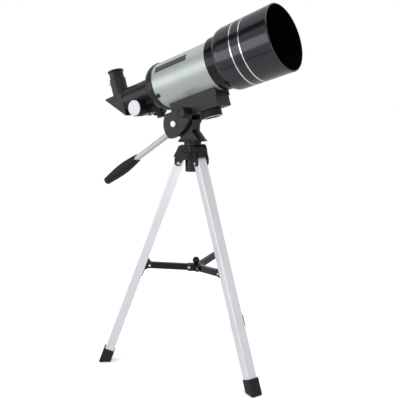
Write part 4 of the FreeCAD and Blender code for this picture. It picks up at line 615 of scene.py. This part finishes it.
def dome(bm, centre, axis, radius, proud):
    rise = Matrix.Translation(centre) @ axes_along(axis).transposed().to_4x4()
    bmesh.ops.create_uvsphere(bm, u_segments=24, v_segments=12, radius=1.0,
                              matrix=rise @ Matrix.Diagonal((proud, radius, radius, 1.0)))


ARM_END = 5.0 * MM              # from the arm's pivot to its rounded end
NEAR_PIN = 6 * MM               # the bracket is measured this close round the pin
PIN_HEAD_R, PIN_HEAD_PROUD = 1.9 * MM, 0.9 * MM
for side in ("left", "right", "rear"):
    axis, middle = long_axis("arm_" + side)
    outward = Vector((middle.x, middle.y, 0)).normalized()
    axis = axis if axis.dot(outward) > 0 else -axis
    reach = (points_of("arm_" + side) @ np.array(axis)).max() - middle.dot(axis) - ARM_END
    pin = middle + axis * reach
    sideways = Vector((0, 0, 1)).cross(outward)
    near = [Vector(p) - pin for p in points_of("bracket_" + side)]
    near = [p.dot(sideways) for p in near if (p - sideways * p.dot(sideways)).length < NEAR_PIN]
    half = max(abs(value) for value in near)
    heads = [pin + sideways * (sign * half) for sign in (-1, 1)]
    piece("bracket_pin_heads_" + side,
          lambda bm: [dome(bm, head, sideways, PIN_HEAD_R, PIN_HEAD_PROUD) for head in heads],
          "leg_" + side,
          turned_metal("pin_head_zinc_" + side, (0.80, 0.79, 0.78), 0.25, 1.0, pin, sideways))

# ---------------------------------------------------------------- studio
# The room is white to the camera and dimmer to the object. The cards show only in gloss: they make the dark
# stripe and the thin line on the shield. The floor gives the object no light and doesn't show in its gloss.


def softbox(name, place, aim, width, height, brightness):
    """A rectangular light whose surface has that brightness, whatever its size."""
    data = bpy.data.lights.new(name, "AREA")
    data.shape = "RECTANGLE"
    data.size, data.size_y = width, height
    data.energy = brightness * math.pi * width * height
    lamp = bpy.data.objects.new(name, data)
    lamp.location = place
    lamp.rotation_euler = (Vector(aim) - Vector(place)).to_track_quat("-Z", "Y").to_euler()
    bpy.context.scene.collection.objects.link(lamp)


def black_card(name, centre, along, facing, length, width):
    """A strip of black card that shows only in gloss, as a dark gap between the lights."""
    along = Vector(along).normalized()
    across = Vector(facing).cross(along).normalized()
    bm = bmesh.new()
    corners = [Vector(centre) + along * (u * length / 2) + across * (v * width / 2)
               for u, v in ((-1, -1), (1, -1), (1, 1), (-1, 1))]
    bm.faces.new([bm.verts.new(corner) for corner in corners])
    mesh = bpy.data.meshes.new(name)
    bm.to_mesh(mesh)
    bm.free()
    mesh.materials.append(CARD_LOOK)
    card = bpy.data.objects.new(name, mesh)
    card.visible_camera = card.visible_shadow = False
    card.visible_diffuse = card.visible_transmission = False
    bpy.context.scene.collection.objects.link(card)


world = bpy.data.worlds.new("studio")
bpy.context.scene.world = world
world.use_nodes = True
sky = world.node_tree
background = sky.nodes["Background"]
background.inputs["Color"].default_value = (1.0, 1.0, 1.0, 1.0)
rays = sky.nodes.new("ShaderNodeLightPath")
direction = sky.nodes.new("ShaderNodeTexCoord")
height = sky.nodes.new("ShaderNodeSeparateXYZ")
fade = sky.nodes.new("ShaderNodeMapRange")
backdrop = sky.nodes.new("ShaderNodeMix")
sky.links.new(direction.outputs["Generated"], height.inputs[0])
sky.links.new(height.outputs["Z"], fade.inputs["Value"])
fade.inputs["From Min"].default_value = -0.5
fade.inputs["To Min"].default_value = ROOM_LOW
fade.inputs["To Max"].default_value = ROOM_HIGH
sky.links.new(rays.outputs["Is Camera Ray"], backdrop.inputs["Factor"])
sky.links.new(fade.outputs["Result"], backdrop.inputs[2])
backdrop.inputs[3].default_value = 1.0
sky.links.new(backdrop.outputs[0], background.inputs["Strength"])

CARD_LOOK = moulded("black_card", (0.002, 0.002, 0.002), 0.9)
SHIELD = from_tube(tube_extent("dew_shield")[1][0] - SHIELD_BACK, 0, 0)
softbox("softbox_left", place=SHIELD + Vector((-0.75, -1.15, -0.02)), aim=SHIELD,
        width=1.7, height=0.62, brightness=LEFT_BRIGHTNESS)
softbox("softbox_top", place=(0.0, -0.1, 2.3), aim=(0.0, 0.0, 0.0),
        width=2.6, height=2.6, brightness=TOP_BRIGHTNESS)
softbox("softbox_right", place=(1.1, -1.4, 0.5), aim=(0.0, 0.0, 0.2),
        width=0.7, height=1.1, brightness=RIGHT_BRIGHTNESS)
black_card("card_upper", SHIELD + STRIPE_WAY * STRIPE_DISTANCE, TUBE, STRIPE_WAY,
           STRIPE_LENGTH, STRIPE_WIDTH)
black_card("card_lower", SHIELD + LINE_WAY * LINE_DISTANCE, TUBE, LINE_FACING,
           LINE_LENGTH, LINE_WIDTH)

bm = bmesh.new()
bmesh.ops.create_circle(bm, cap_ends=True, segments=128, radius=FLOOR_RADIUS)
floor_mesh = bpy.data.meshes.new("studio_floor")
bm.to_mesh(floor_mesh)
bm.free()
floor_mesh.materials.append(floor_look())
floor = bpy.data.objects.new("studio_floor", floor_mesh)
bpy.context.scene.collection.objects.link(floor)
floor.visible_diffuse = floor.visible_glossy = False

bpy.context.scene.view_settings.view_transform = "Standard"

# ---------------------------------------------------------------- camera

CAMERA_PLACE = Vector((0.548107, -0.737855, 0.401641))
CAMERA_LOOK = Vector((-0.58167, 0.79908, -0.15212)).normalized()
CAMERA_ROLL = math.radians(-1.58)
CAMERA_LENS, SENSOR_WIDTH = 53.37, 36.0
camera_data = bpy.data.cameras.new("camera")
camera_data.lens = CAMERA_LENS
camera_data.sensor_width = SENSOR_WIDTH
camera = bpy.data.objects.new("camera", camera_data)
right = CAMERA_LOOK.cross(Vector((0, 0, 1))).normalized()
above = right.cross(CAMERA_LOOK)
rolled_right = right * math.cos(CAMERA_ROLL) + above * math.sin(CAMERA_ROLL)
rolled_up = above * math.cos(CAMERA_ROLL) - right * math.sin(CAMERA_ROLL)
turn = Matrix((rolled_right, rolled_up, -CAMERA_LOOK)).transposed().to_4x4()
camera.matrix_world = Matrix.Translation(CAMERA_PLACE) @ turn
bpy.context.scene.collection.objects.link(camera)
bpy.context.scene.camera = camera
